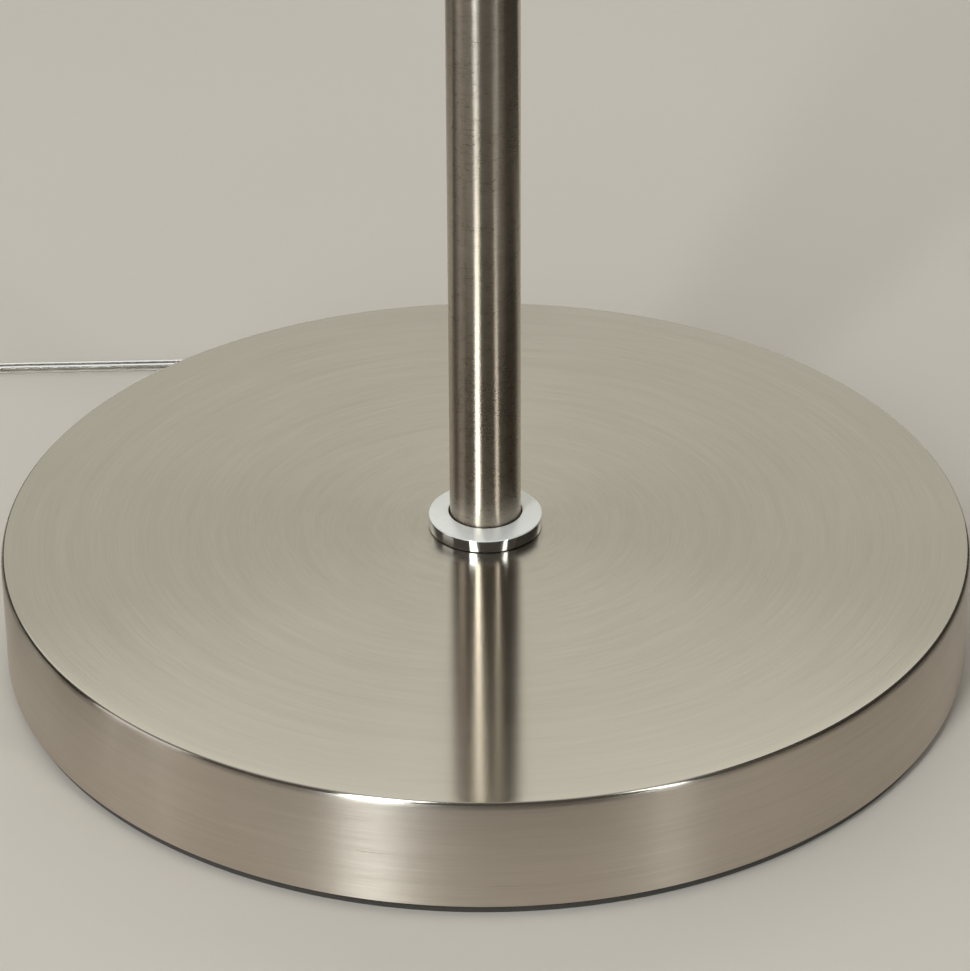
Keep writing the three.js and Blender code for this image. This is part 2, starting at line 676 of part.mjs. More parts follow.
function makeLead() {
  const tip = exitDirection.clone().multiplyScalar(BASE_RADIUS + RELIEF_LENGTH + GAP);
  const blockEnd = 14 + GAP; // half the length of the switch block, and the gap to the flex
  const sx = SWITCH_PLACE.x;
  const split = SWITCH_BASE_HEIGHT + GAP / 2;
  const near = SWITCH_PLACE.y + blockEnd;
  const far = SWITCH_PLACE.y - blockEnd;
  const end = SWITCH_PLACE.y + SWITCH_LENGTH / 2;
  const farEnd = SWITCH_PLACE.y - SWITCH_LENGTH / 2;

  const toSwitch = [
    [tip.x, tip.y, EXIT_HEIGHT],
    [-80.4, 157.7, 10.5],
    [-84.6, 164.3, 7.6],
    [-91.6, 170.5, 4.1],
    [-99, 173.6, 2.1],
    [-108, 174.3, FLEX_LIE],
    [-125, 173.7, FLEX_LIE],
    [-148, 173, FLEX_LIE],
    [-170, 172.2, FLEX_LIE],
    [-192, 170, FLEX_LIE],
    [-212, 162.5, FLEX_LIE],
    [-228, 148, FLEX_LIE],
    [-238, 128, FLEX_LIE],
    [-241, 106, FLEX_LIE],
    [-239.5, 84, FLEX_LIE],
    [sx, 68, FLEX_LIE],
    [sx, 56, 2.4],
    [sx, end + 10, split - 1.6],
    [sx, end + 3, split],
    [sx, near, split],
  ];
  add("switch_lead", flex(toSwitch, 36), clearPvc());

  const coilSide = COIL_MEAN_RADIUS + COIL_THICKNESS / 2 + GAP + FLEX_WIDTH / 2;
  const coilStart = COIL_PLACE.x - coilSide;
  const toCoil = [
    [sx, far, split],
    [sx, farEnd - 3, split],
    [sx - 0.2, farEnd - 10, split - 1.6],
    [sx - 1.2, -67, 2.4],
    [sx - 2.8, -79, FLEX_LIE],
    [coilStart - 0.4, -104, FLEX_LIE],
    [coilStart, COIL_PLACE.y + 4, FLEX_LIE],
  ];
  add("plug_lead", flex(toCoil, 14), clearPvc());

  const plugRear = PLUG_PLACE.y - PLUG_LENGTH - PLUG_BOOT - GAP;
  const coilEnd = COIL_PLACE.x + coilSide;
  const toPlug = [
    [coilEnd, COIL_PLACE.y - 2, 6],
    [coilEnd - 0.4, COIL_PLACE.y + 12, 5],
    [coilEnd - 5, COIL_PLACE.y + 26, 4],
    [PLUG_PLACE.x + 6, COIL_PLACE.y + 37, 4.4],
    [PLUG_PLACE.x + 1, plugRear - 7, 6],
    [PLUG_PLACE.x, plugRear - 2.5, PLUG_THICKNESS / 2 - 0.1],
    [PLUG_PLACE.x, plugRear, PLUG_THICKNESS / 2],
  ];
  add("plug_tail", flex(toPlug, 12), clearPvc());

  const inner = COIL_MEAN_RADIUS - COIL_THICKNESS / 2;
  const outer = COIL_MEAN_RADIUS + COIL_THICKNESS / 2;
  const top = COIL_BOTTOM + COIL_HEIGHT;
  const profile = [
    [inner + 1, COIL_BOTTOM],
    [outer - 1, COIL_BOTTOM],
    [outer, COIL_BOTTOM + 1],
    [outer, top - 1],
    [outer - 1, top],
    [inner + 1, top],
    [inner, top - 1],
    [inner, COIL_BOTTOM + 1],
  ];
  add("lead_coil", turned(closed(profile), 28), clearPvc()).position.copy(COIL_PLACE);
  makeTie();
}

// Flat tie round the bundle of turns, on the side of the coil away from the switch.
function makeTie() {
  const frame = (grow) => {
    const [x, y] = [COIL_THICKNESS / 2 + grow, COIL_HEIGHT / 2 + grow];
    return polygon([[x - 1.2, -y], [x, 1.2 - y], [x, y - 1.2], [x - 1.2, y],
      [1.2 - x, y], [-x, y - 1.2], [-x, 1.2 - y], [1.2 - x, -y]]);
  };
  const slack = 0.5;
  const outside = slab(frame(slack + TIE_THICKNESS), -TIE_WIDTH / 2, TIE_WIDTH / 2);
  const tie = cut(outside, slab(frame(slack), -TIE_WIDTH, TIE_WIDTH));
  const mesh = add("coil_tie", tie, blackPlastic());
  const [x, y, z] = [[1, 0, 0], [0, 1, 0], [0, 0, 1]].map((v) => new THREE.Vector3(...v));
  mesh.quaternion.setFromRotationMatrix(new THREE.Matrix4().makeBasis(y, z, x));
  mesh.position.set(COIL_PLACE.x, COIL_PLACE.y - COIL_MEAN_RADIUS, COIL_BOTTOM + COIL_HEIGHT / 2);
}

// Flat two-pin plug that lies on the floor with its pins towards +Y.
function makePlug() {
  const unit = new THREE.Group();
  unit.position.copy(PLUG_PLACE);
  lamp.add(unit);
  const bevel = 1.2;
  const wide = PLUG_WIDTH / 2 - bevel;
  const outline = polygon([
    [wide, -bevel],
    [-wide, -bevel],
    [-wide, -14],
    [-9, 0.5 - PLUG_LENGTH],
    [-6, bevel - PLUG_LENGTH],
    [6, bevel - PLUG_LENGTH],
    [9, 0.5 - PLUG_LENGTH],
    [wide, -14],
  ].toReversed());
  const shell = new THREE.ExtrudeGeometry(outline, {
    depth: PLUG_THICKNESS - 2 * bevel,
    bevelSize: bevel,
    bevelThickness: bevel,
    bevelSegments: 2,
  }).translate(0, 0, bevel);
  const boot = turned([[0, 0], [3.3, 0], [5.4, PLUG_BOOT], [5.4, PLUG_BOOT + 3], [0, PLUG_BOOT + 3]], 16)
    .rotateX(-Math.PI / 2)
    .translate(0, -PLUG_LENGTH - PLUG_BOOT, PLUG_THICKNESS / 2);
  const pinPlaces = [-PIN_SPACING / 2, PIN_SPACING / 2];
  const depth = 8;
  const holes = pinPlaces.map((x) =>
    disc(PIN_RADIUS + GAP, -depth - GAP, 2, 16).rotateX(-Math.PI / 2).translate(x, 0, PLUG_THICKNESS / 2),
  );
  add("plug_body", cut(join(shell, boot), ...holes), whitePlastic(), unit);
  pinPlaces.forEach((x, i) => {
    const tip = arc([0, PIN_LENGTH - PIN_RADIUS], [PIN_RADIUS, PIN_RADIUS], 0, 90, 3);
    tip[tip.length - 1][0] = 0;
    const pin = turned([[0, -depth], [PIN_RADIUS, -depth], ...tip], 16).rotateX(-Math.PI / 2);
    add(`plug_pin_${i + 1}`, pin, steel(), unit).position.set(x, 0, PLUG_THICKNESS / 2);
  });
}

makeBase();
makePole();
makeInnerFlex();
makeHead();
makeSwitch();
makeLead();
makePlug();

export default lamp;
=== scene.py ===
"""Torchiere floor lamp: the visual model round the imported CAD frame.

Shapes are worked out in millimetres in the CAD frame, and written to Blender in metres.
"""

import json
import math

import bpy
from mathutils import Matrix, Vector


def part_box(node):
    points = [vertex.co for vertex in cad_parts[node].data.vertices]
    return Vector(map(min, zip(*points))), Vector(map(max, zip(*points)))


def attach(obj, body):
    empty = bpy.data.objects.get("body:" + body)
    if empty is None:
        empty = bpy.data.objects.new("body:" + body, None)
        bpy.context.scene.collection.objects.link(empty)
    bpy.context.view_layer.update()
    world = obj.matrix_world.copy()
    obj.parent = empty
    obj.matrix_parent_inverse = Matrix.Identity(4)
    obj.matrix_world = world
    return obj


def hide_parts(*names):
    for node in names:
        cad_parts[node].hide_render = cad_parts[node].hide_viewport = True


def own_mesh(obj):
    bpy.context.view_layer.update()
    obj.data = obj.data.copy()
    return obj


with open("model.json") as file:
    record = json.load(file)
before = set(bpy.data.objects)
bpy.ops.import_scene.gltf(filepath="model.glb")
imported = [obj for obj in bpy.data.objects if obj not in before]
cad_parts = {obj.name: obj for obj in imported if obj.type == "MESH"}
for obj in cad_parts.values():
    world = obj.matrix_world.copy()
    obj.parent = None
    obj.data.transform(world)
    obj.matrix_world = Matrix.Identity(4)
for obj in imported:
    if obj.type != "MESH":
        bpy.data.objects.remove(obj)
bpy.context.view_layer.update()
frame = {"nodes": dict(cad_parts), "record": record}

MM = 0.001
TAU = 2 * math.pi
SLOT_OF = {part["node"]: part["material_slot"] for part in frame["record"]["subparts"]}


def box_mm(node):
    """Lowest and highest corner of a CAD node, in millimetres."""
    low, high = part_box(node)
    return low / MM, high / MM


# ---------------------------------------------------------------- camera

VIEW_TARGET = (-0.00009, 0, 0.0536)
VIEW_DISTANCE = 1.248
VIEW_ELEVATION = math.radians(30.43)
VIEW_ROLL = math.radians(-0.3)
VIEW_LENS = 149.9


def make_camera():
    data = bpy.data.cameras.new("photo_camera")
    data.lens = VIEW_LENS
    data.sensor_width = 36
    data.sensor_fit = "HORIZONTAL"
    camera = bpy.data.objects.new("photo_camera", data)
    bpy.context.scene.collection.objects.link(camera)
    back = Vector((0, -math.cos(VIEW_ELEVATION), math.sin(VIEW_ELEVATION))) * VIEW_DISTANCE
    tilt = Matrix.Rotation(math.pi / 2 - VIEW_ELEVATION, 4, "X")
    roll = Matrix.Rotation(VIEW_ROLL, 4, "Z")
    camera.matrix_world = Matrix.Translation(Vector(VIEW_TARGET) + back) @ tilt @ roll
    bpy.context.scene.camera = camera


make_camera()

# ---------------------------------------------------------------- mesh helpers


def arc(centre, radii, start, end, steps):
    """Points on an ellipse, from one angle in degrees to another."""
    points = []
    for i in range(steps + 1):
        angle = math.radians(start + (end - start) * i / steps)
        points.append((centre[0] + radii[0] * math.cos(angle), centre[1] + radii[1] * math.sin(angle)))
    return points


def rounded(corners, steps=5, closed=True):
    """An outline with its corners rounded. A corner is (x, y) or (x, y, radius)."""
    points = []
    count = len(corners)
    for i, corner in enumerate(corners):
        here = Vector(corner[:2])
        radius = corner[2] if len(corner) > 2 else 0
        if not radius or (not closed and i in (0, count - 1)):
            points.append(tuple(here))
            continue
        before = (Vector(corners[i - 1][:2]) - here).normalized()
        after = (Vector(corners[(i + 1) % count][:2]) - here).normalized()
        half = before.angle(after) / 2
        if half > math.radians(88):
            points.append(tuple(here))
            continue
        reach = radius / math.tan(half)
        middle = here + (before + after).normalized() * radius / math.sin(half)
        start, end = here + before * reach - middle, here + after * reach - middle
        turn = start.angle_signed(end)
        for step in range(steps + 1):
            angle = -turn * step / steps
            spin = Matrix.Rotation(angle, 2)
            points.append(tuple(middle + spin @ start))
    return points


class Shape:
    """Collects points and faces, in millimetres, and makes one piece of them."""

    def __init__(self):
        self.points = []
        self.faces = []
        self.finishes = []

    def rows(self, rows, wrap_row=True, wrap_rows=False, finish=0):
        """Joins neighbouring rows of points by faces. A row of one point closes an end."""
        marks = []
        for row in rows:
            marks.append(range(len(self.points), len(self.points) + len(row)))
            self.points.extend(tuple(point) for point in row)
        pairs = list(zip(marks, marks[1:]))
        if wrap_rows:
            pairs.append((marks[-1], marks[0]))
        for low, high in pairs:
            count = max(len(low), len(high))
            for i in range(count if wrap_row else count - 1):
                j = (i + 1) % count
                if len(low) == 1:
                    face = (low[0], high[j], high[i])
                elif len(high) == 1:
                    face = (low[i], low[j], high[0])
                else:
                    face = (low[i], low[j], high[j], high[i])
                self.faces.append(face)
                self.finishes.append(finish)
        return marks

    def end(self, mark, finish=0, flip=False):
        """Closes a row with one flat face."""
        self.faces.append(tuple(reversed(mark)) if flip else tuple(mark))
        self.finishes.append(finish)

    def turned(self, profile, segments=96, centre=(0, 0), closed=True, finish=0):
        """Turns (radius, height) points, which run anticlockwise, round a vertical axis."""
        rows = []
        for radius, height in profile:
            if radius < 1e-6:
                rows.append([(centre[0], centre[1], height)])
                continue
            ring = [TAU * i / segments for i in range(segments)]
            rows.append([(centre[0] + radius * math.cos(a), centre[1] + radius * math.sin(a), height) for a in ring])
        self.rows(rows, wrap_rows=closed, finish=finish)
        return self

    def moved(self, matrix):
        self.points = [tuple(matrix @ Vector(point)) for point in self.points]
        return self

    def piece(self, name, materials, body="lamp", replaces=(), slot=None, sharp=38):
        mesh = bpy.data.meshes.new(name)
        mesh.from_pydata([(x * MM, y * MM, z * MM) for x, y, z in self.points], [], self.faces)
        for material in materials if isinstance(materials, (list, tuple)) else [materials]:
            mesh.materials.append(material)
        mesh.polygons.foreach_set("material_index", self.finishes)
        mesh.shade_smooth()
        mesh.set_sharp_from_angle(angle=math.radians(sharp))
        mesh.update()
        made = bpy.data.objects.new(name, mesh)
        bpy.context.scene.collection.objects.link(made)
        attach(made, body)
        if replaces:
            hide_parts(*replaces)
        return made


def oblong(length, width, height, steps=24):
    """Outline with straight sides along Y and round ends, as a level row of points."""
    radius = width / 2
    middle = length / 2 - radius
    ends = arc((0, middle), (radius, radius), 0, 180, steps) + arc((0, -middle), (radius, radius), 180, 360, steps)
    return [(x, y, height) for x, y in ends]


def smooth(share):
    share = min(max(share, 0), 1)
    return share * share * (3 - 2 * share)


# ---------------------------------------------------------------- materials


class Graph:
    """One material with a Principled shader, and short ways to add nodes to it."""

    def __init__(self, name, **sockets):
        self.material = bpy.data.materials.new(name)
        self.material.use_nodes = True
        self.tree = self.material.node_tree
        self.shader = self.tree.nodes["Principled BSDF"]
        for socket, value in sockets.items():
            self.shader.inputs[socket.replace("_", " ")].default_value = value

    def node(self, kind, inputs=(), **settings):
        made = self.tree.nodes.new(kind)
        for key, value in settings.items():
            setattr(made, key, value)
        for key, value in dict(inputs).items():
            if isinstance(value, bpy.types.NodeSocket):
                self.tree.links.new(value, made.inputs[key])
            else:
                made.inputs[key].default_value = value
        return made

    def maths(self, operation, *values):
        return self.node("ShaderNodeMath", enumerate(values), operation=operation).outputs[0]

    def vector(self, operation, *values, output=0):
        return self.node("ShaderNodeVectorMath", enumerate(values), operation=operation).outputs[output]

    def scaled(self, vector, scale):
        return self.node("ShaderNodeVectorMath", {0: vector, "Scale": scale}, operation="SCALE").outputs[0]

    def place(self):
        return self.node("ShaderNodeTexCoord").outputs["Object"]

    def noise(self, vector, scale, detail=3.0, roughness=0.55):
        inputs = {"Vector": vector, "Scale": scale, "Detail": detail, "Roughness": roughness}
        return self.node("ShaderNodeTexNoise", inputs).outputs["Fac"]

    def spread(self, value, low, high, start=0.3, end=0.7):
        inputs = {"Value": value, "From Min": start, "From Max": end, "To Min": low, "To Max": high}
        return self.node("ShaderNodeMapRange", inputs).outputs[0]

    def blend(self, share, first, second):
        inputs = {"Factor": share}
        made = self.node("ShaderNodeMix", inputs, data_type="RGBA")
        for socket, value in ((6, first), (7, second)):
            if isinstance(value, bpy.types.NodeSocket):
                self.tree.links.new(value, made.inputs[socket])
            else:
                made.inputs[socket].default_value = (*value, 1)
        return made.outputs[2]

    def bump(self, height, strength, distance, under=None):
        inputs = {"Height": height, "Strength": strength, "Distance": distance}
        if under is not None:
            inputs["Normal"] = under
        return self.node("ShaderNodeBump", inputs).outputs[0]

    def use(self, socket, value):
        self.tree.links.new(value, self.shader.inputs[socket])

    def cylindrical(self, fine, turn=0.0, along=0.0):
        """Coordinates for marks round the Z axis: fine across them, and slow along them.

        Marks go on by a share of a turn, or by a length if along is given.
        """
        place = self.place()
        parts = self.node("ShaderNodeSeparateXYZ", {0: place}).outputs
        level = self.node("ShaderNodeCombineXYZ", {"X": parts["X"], "Y": parts["Y"]}).outputs[0]
        radius = self.vector("LENGTH", level, output=1)
        across = self.maths("MULTIPLY", self.maths("SUBTRACT", radius, parts["Z"]), fine)
        lines = self.node("ShaderNodeCombineXYZ", {"Z": across}).outputs[0]
        course = self.scaled(level, along) if along else self.scaled(self.vector("NORMALIZE", level), turn)
        return self.vector("ADD", lines, course)


def brushed(name, light, dark, roughness, anisotropy, line_depth, scratch_depth):
    """Metal brushed in circles round the lamp's axis, so that it spreads a light across the lines."""
    graph = Graph(name, Metallic=1.0, Anisotropic=anisotropy, Anisotropic_Rotation=0.25)
    lines = graph.noise(graph.cylindrical(1900, 5), 1.0, 5.0, 0.7)
    broad = graph.noise(graph.cylindrical(260, 1.6), 1.0, 3.0, 0.6)
    stain = graph.noise(graph.place(), 16, 4.0, 0.55)
    tone = graph.maths("ADD", graph.maths("MULTIPLY", lines, 0.45), graph.maths("MULTIPLY", broad, 0.3))
    tone = graph.maths("ADD", tone, graph.maths("MULTIPLY", stain, 0.25))
    graph.use("Base Color", graph.blend(graph.spread(tone, 0, 1, 0.36, 0.64), dark, light))
    graph.use("Roughness", graph.spread(tone, roughness[0], roughness[1], 0.36, 0.64))
    scratches = graph.noise(graph.cylindrical(1500, along=210), 1.0, 4.0, 0.65)
    ground = graph.bump(lines, line_depth, 0.00003)
    graph.use("Normal", graph.bump(scratches, line_depth, scratch_depth, ground))
    tangent = graph.node("ShaderNodeTangent", direction_type="RADIAL", axis="Z").outputs[0]
    graph.use("Tangent", tangent)
    return graph.material


def grained(name, light, dark, roughness, grain=900.0, depth=0.2, height=0.0001, patch=25.0, **sockets):
    """A finish with a fine grain and slow changes of tone."""
    graph = Graph(name, **sockets)
    place = graph.place()
    fine = graph.noise(place, grain, 4.0, 0.6)
    slow = graph.noise(place, patch, 3.0, 0.5)
    tone = graph.maths("ADD", graph.maths("MULTIPLY", fine, 0.5), graph.maths("MULTIPLY", slow, 0.5))
    graph.use("Base Color", graph.blend(graph.spread(tone, 0, 1, 0.38, 0.62), dark, light))
    graph.use("Roughness", graph.spread(tone, roughness[0], roughness[1], 0.38, 0.62))
    graph.use("Normal", graph.bump(fine, depth, height))
    return graph.material


def polished(name, light, dark, roughness):
    """Plated and polished metal with the faint waves and wipe marks of a polished part."""
    graph = Graph(name, Metallic=1.0)
    place = graph.place()
    waves = graph.noise(place, 190, 2.0, 0.5)
    wipes = graph.noise(graph.cylindrical(700, 9), 1.0, 4.0, 0.6)
    graph.use("Base Color", graph.blend(graph.spread(waves, 0, 1), dark, light))
    graph.use("Roughness", graph.spread(wipes, roughness[0], roughness[1]))
    graph.use("Normal", graph.bump(waves, 0.25, 0.00004))
    return graph.material


def clear_flex():
    """Clear soft PVC: glassy, faintly grey, with a slightly uneven skin."""
    graph = Graph("clear_pvc", IOR=1.53, Transmission_Weight=1.0)
    place = graph.place()
    skin = graph.noise(place, 260, 3.0, 0.5)
    graph.use("Base Color", graph.blend(graph.spread(skin, 0, 1), (0.90, 0.90, 0.87), (0.97, 0.97, 0.95)))
    graph.use("Roughness", graph.spread(skin, 0.05, 0.14))
    graph.use("Normal", graph.bump(skin, 0.3, 0.0002))
    return graph.material


def opal():
    """Frosted opal glass with a softly uneven etch."""
    graph = Graph(
        "opal_glass",
        IOR=1.5,
        Subsurface_Weight=0.6,
        Subsurface_Radius=(0.012, 0.011, 0.009),
        Subsurface_Scale=1.0,
        Coat_Weight=0.15,
        Coat_Roughness=0.2,
    )
    place = graph.place()
    etch = graph.noise(place, 1400, 3.0, 0.6)
    cloud = graph.noise(place, 9, 3.0, 0.5)
    graph.use("Base Color", graph.blend(graph.spread(cloud, 0, 1), (0.80, 0.77, 0.71), (0.86, 0.84, 0.79)))
    graph.use("Roughness", graph.spread(etch, 0.28, 0.42))
    graph.use("Normal", graph.bump(etch, 0.08, 0.0001))
    return graph.material


def felted():
    graph = Graph("felt", Sheen_Weight=0.12, Sheen_Roughness=0.6)
    place = graph.place()
    fibres = graph.noise(place, 2600, 6.0, 0.75)
    tufts = graph.noise(place, 320, 4.0, 0.6)
    # Near-black felt, warmed brown: the felt's own colour, and also tuned as painted contact shadow where the pad shows
    # under the cover's edge.
    graph.use("Base Color", graph.blend(graph.spread(fibres, 0, 1), (0.030, 0.025, 0.020), (0.080, 0.068, 0.055)))
    graph.use("Roughness", graph.spread(fibres, 0.88, 1.0))
    fuzz = graph.bump(tufts, 0.5, 0.0006)
    graph.use("Normal", graph.bump(fibres, 0.8, 0.0004, fuzz))
    return graph.material


def stranded(name, dark, light):
    """Copper strands laid in a slow twist, seen through the clear sheath."""
    graph = Graph(name, Metallic=1.0)
    place = graph.place()
    fine = graph.noise(place, 1500, 3.0, 0.6)
    # The glint noise paints pale patches along the strands, as painted glints.
    painted_glint = graph.noise(place, 70, 2.0, 0.5)
    tone = graph.maths("ADD", graph.maths("MULTIPLY", fine, 0.5), graph.maths("MULTIPLY", painted_glint, 0.5))
    graph.use("Base Color", graph.blend(graph.spread(tone, 0, 1, 0.4, 0.62), dark, light))
    graph.use("Roughness", graph.spread(fine, 0.22, 0.4))
    graph.use("Normal", graph.bump(fine, 0.4, 0.0001))
    return graph.material


FINISHES = {
    "satin_nickel": brushed("satin_nickel", (0.69, 0.612, 0.525), (0.575, 0.505, 0.43), (0.27, 0.32), 0.985, 0.28, 0.00014),
    "chrome": polished("chrome", (0.80, 0.80, 0.79), (0.70, 0.70, 0.69), (0.03, 0.08)),
    "cast_iron": grained("cast_iron", (0.07, 0.068, 0.065), (0.02, 0.02, 0.02), (0.7, 0.9), 500.0, 0.7, 0.0006,
                         Metallic=0.6),
    "zinc_steel": grained("zinc_steel", (0.62, 0.61, 0.58), (0.40, 0.40, 0.39), (0.28, 0.48), 700.0, 0.15,
                          Metallic=1.0),
    "black_paint": grained("black_paint", (0.035, 0.035, 0.036), (0.012, 0.012, 0.012), (0.45, 0.62), 800.0, 0.3),
    "felt": felted(),
    "clear_pvc": clear_flex(),
    "black_plastic": grained("black_plastic", (0.030, 0.030, 0.032), (0.014, 0.014, 0.015), (0.34, 0.5), 1500.0,
                             0.22),
    "white_plastic": grained("white_plastic", (0.80, 0.79, 0.75), (0.73, 0.72, 0.68), (0.28, 0.42), 1500.0, 0.15,
                             Coat_Weight=0.1, Coat_Roughness=0.25),
    "grey_plastic": grained("grey_plastic", (0.36, 0.36, 0.355), (0.29, 0.29, 0.285), (0.34, 0.5), 1300.0, 0.25),
    "silicone": grained("silicone", (0.76, 0.75, 0.72), (0.66, 0.65, 0.62), (0.5, 0.65), 900.0, 0.15,
                        Subsurface_Weight=0.2, Subsurface_Radius=(0.002, 0.002, 0.002)),
    "opal_glass": opal(),
    "bulb_white": grained("bulb_white", (0.88, 0.87, 0.84), (0.84, 0.83, 0.79), (0.2, 0.32), 1600.0, 0.08,
                          Subsurface_Weight=0.4, Subsurface_Radius=(0.006, 0.005, 0.004)),
    "brass": grained("brass", (0.72, 0.53, 0.24), (0.56, 0.39, 0.16), (0.22, 0.4), 700.0, 0.15, Metallic=1.0),
}
# Top of the base cover: real concentric brushing and lower roughness, with a base colour painted darker than the
# side's, as painted shade.
SATIN_TOP_SHADED = brushed("satin_nickel_top_painted_shade", (0.57, 0.52, 0.445), (0.51, 0.465, 0.395), (0.15, 0.18), 0.97, 0.15, 0.00003)
# Pole tubes: the same satin nickel as the base, with a darker, browner base colour as painted shade.
POLE_TUBE_SHADED = brushed("satin_nickel_tube_painted_shade", (0.64, 0.565, 0.475), (0.46, 0.395, 0.325), (0.26, 0.31), 0.985, 0.28, 0.00003)
# Satin top of the chrome ring, given a near-white colour that paints it as lit from above: painted light.
RING_TOP_LIT = grained("satin_chrome_painted_light", (0.92, 0.90, 0.85), (0.86, 0.84, 0.79), (0.28, 0.4), 900.0, 0.15, Metallic=0.3)
TINNED = stranded("tinned_strands", (0.50, 0.48, 0.44), (0.90, 0.88, 0.84))
# A near-black copy of the strands for the core at the flex's back edge: painted shadow, standing for the line of shade
# behind the cord.
CORE_PAINTED_SHADOW = stranded("strands_painted_shadow", (0.07, 0.055, 0.04), (0.34, 0.28, 0.22))


def finish_of(node):
    return FINISHES[SLOT_OF[node]]


# ---------------------------------------------------------------- flat twin flex

FLEX_WIDTH = 4.9
FLEX_THICKNESS = 2.45
FLEX_LIE = FLEX_THICKNESS / 2 + 0.15
FLEX_STEP = 2.0
CORE_RADIUS = 0.46
# CORE_RISE and CORE_SHIFT move both cores up and toward the back lobe, so that the dark core paints the shadow line
# along the flex's top edge.
CORE_RISE = 0.6
CORE_SHIFT = 0.3
CORE_LOBES = 5
CORE_LAY = 24.0
EXIT_ANGLE = math.radians(117)
EXIT_HEIGHT = sum(corner.z for corner in box_mm("cord_grommet")) / 2
EXIT_OUT = Vector((math.cos(EXIT_ANGLE), math.sin(EXIT_ANGLE), 0))


def spline(points, step):
    """Even points along a centripetal Catmull-Rom curve through the given ones."""
    knots = [Vector(point) for point in points]
    knots = [2 * knots[0] - knots[1], *knots, 2 * knots[-1] - knots[-2]]
    dense = []
    for p0, p1, p2, p3 in zip(knots, knots[1:], knots[2:], knots[3:]):
        t1 = (p1 - p0).length ** 0.5
        t2 = t1 + (p2 - p1).length ** 0.5
        t3 = t2 + (p3 - p2).length ** 0.5
        for i in range(16):
            t = t1 + (t2 - t1) * i / 16
            a1 = p0.lerp(p1, t / t1)
            a2 = p1.lerp(p2, (t - t1) / (t2 - t1))
            a3 = p2.lerp(p3, (t - t2) / (t3 - t2))
            b1 = a1.lerp(a2, t / t2)
            b2 = a2.lerp(a3, (t - t1) / (t3 - t1))
            dense.append(b1.lerp(b2, (t - t1) / (t2 - t1)))
    dense.append(Vector(points[-1]))
    total = sum((b - a).length for a, b in zip(dense, dense[1:]))
    count = round(total / step)
    even = [dense[0]]
    walked = 0
    for a, b in zip(dense, dense[1:]):
        length = (b - a).length
        while len(even) < count and walked + length >= len(even) * total / count:
            even.append(a.lerp(b, (len(even) * total / count - walked) / length))
        walked += length
    even.append(dense[-1])
    return even, total


def twin_section():
    """Figure of eight: two round cores side by side with a thin web between."""
    radius = FLEX_THICKNESS / 2
    right = arc((radius, 0), (radius, radius), -152, 152, 9)
    left = arc((-radius, 0), (radius, radius), 28, 332, 9)
    return right + left


def flex(shape, points, twist):
    """Adds the sheath and its two cores along a route. twist(share) is the turn of the wide side."""
    route, total = spline(points, FLEX_STEP)
    sheath, cores = [], [[], []]
    for i, point in enumerate(route):
        along = (route[min(i + 1, len(route) - 1)] - route[max(i - 1, 0)]).normalized()
        side = along.cross(Vector((0, 0, 1))).normalized()
        up = side.cross(along)
        turn = twist(i / (len(route) - 1))
        wide = side * math.cos(turn) + up * math.sin(turn)
        thick = wide.cross(along)
        sheath.append([point + wide * u + thick * v for u, v in twin_section()])
        for core, sign in zip(cores, (1, -1)):
            centre = point + wide * (sign * FLEX_THICKNESS / 2)
            spin = TAU * i * FLEX_STEP / CORE_LAY
            ring = []
            for k in range(CORE_LOBES * 3):
                angle = TAU * k / (CORE_LOBES * 3)
                reach = CORE_RADIUS * (0.86 + 0.14 * math.cos(CORE_LOBES * angle))
                ring.append(centre + (wide * math.cos(angle + spin) + thick * math.sin(angle + spin)) * reach)
            core.append([point + thick * CORE_RISE + wide * CORE_SHIFT for point in ring])
    marks = shape.rows(sheath)
    shape.end(marks[0], flip=True)
    shape.end(marks[-1])
    for finish, core in enumerate(cores, 1):
        marks = shape.rows(core, finish=finish)
        shape.end(marks[0], finish=finish, flip=True)
        shape.end(marks[-1], finish=finish)
    return route, total


base_low, base_high = box_mm("base_cover")
BASE_RADIUS = base_high.x
grommet_tip = EXIT_OUT * (BASE_RADIUS + 22.3) + Vector((0, 0, EXIT_HEIGHT))
switch_low, switch_high = box_mm("switch_cover")
SWITCH_X = (switch_low.x + switch_high.x) / 2
SWITCH_Y = (switch_low.y + switch_high.y) / 2
SWITCH_TRAY_TOP = box_mm("switch_base")[1].z
SWITCH_SPLIT = SWITCH_TRAY_TOP + 0.15
block_low, block_high = box_mm("switch_block")

SWITCH_ROUTE = [
    tuple(grommet_tip),
    (-80.4, 157.7, 10.5),
    (-84.6, 164.3, 7.6),
    (-91.6, 170.5, 4.1),
    (-99, 173.6, 2.1),
    (-108, 174.3, FLEX_LIE),
    (-125, 173.7, FLEX_LIE),
    (-148, 173, FLEX_LIE),
    (-170, 172.2, FLEX_LIE),
    (-192, 170, FLEX_LIE),
    (-212, 162.5, FLEX_LIE),
    (-228, 148, FLEX_LIE),
    (-238, 128, FLEX_LIE),
    (-241, 106, FLEX_LIE),
    (-239.5, 84, FLEX_LIE),
    (SWITCH_X, 68, FLEX_LIE),
    (SWITCH_X, 56, 2.4),
    (SWITCH_X, switch_high.y + 10, SWITCH_SPLIT - 1.6),
    (SWITCH_X, switch_high.y + 3, SWITCH_SPLIT),
    (SWITCH_X, block_high.y + 0.3, SWITCH_SPLIT),
]

coil_low, coil_high = box_mm("lead_coil")
COIL_CENTRE = (coil_low + coil_high) / 2
COIL_RADIUS = (coil_high.x - coil_low.x) / 2
COIL_TURNS = 8.5
COIL_PITCH = 2.5
COIL_LEVELS = (coil_low.z + FLEX_WIDTH / 2, coil_high.z - FLEX_WIDTH / 2)
COIL_STEPS = 24
plug_low, plug_high = box_mm("plug_body")
PLUG_X = (plug_low.x + plug_high.x) / 2
PLUG_LEVEL = (plug_low.z + plug_high.z) / 2
LEAD_SIDE = 35.55

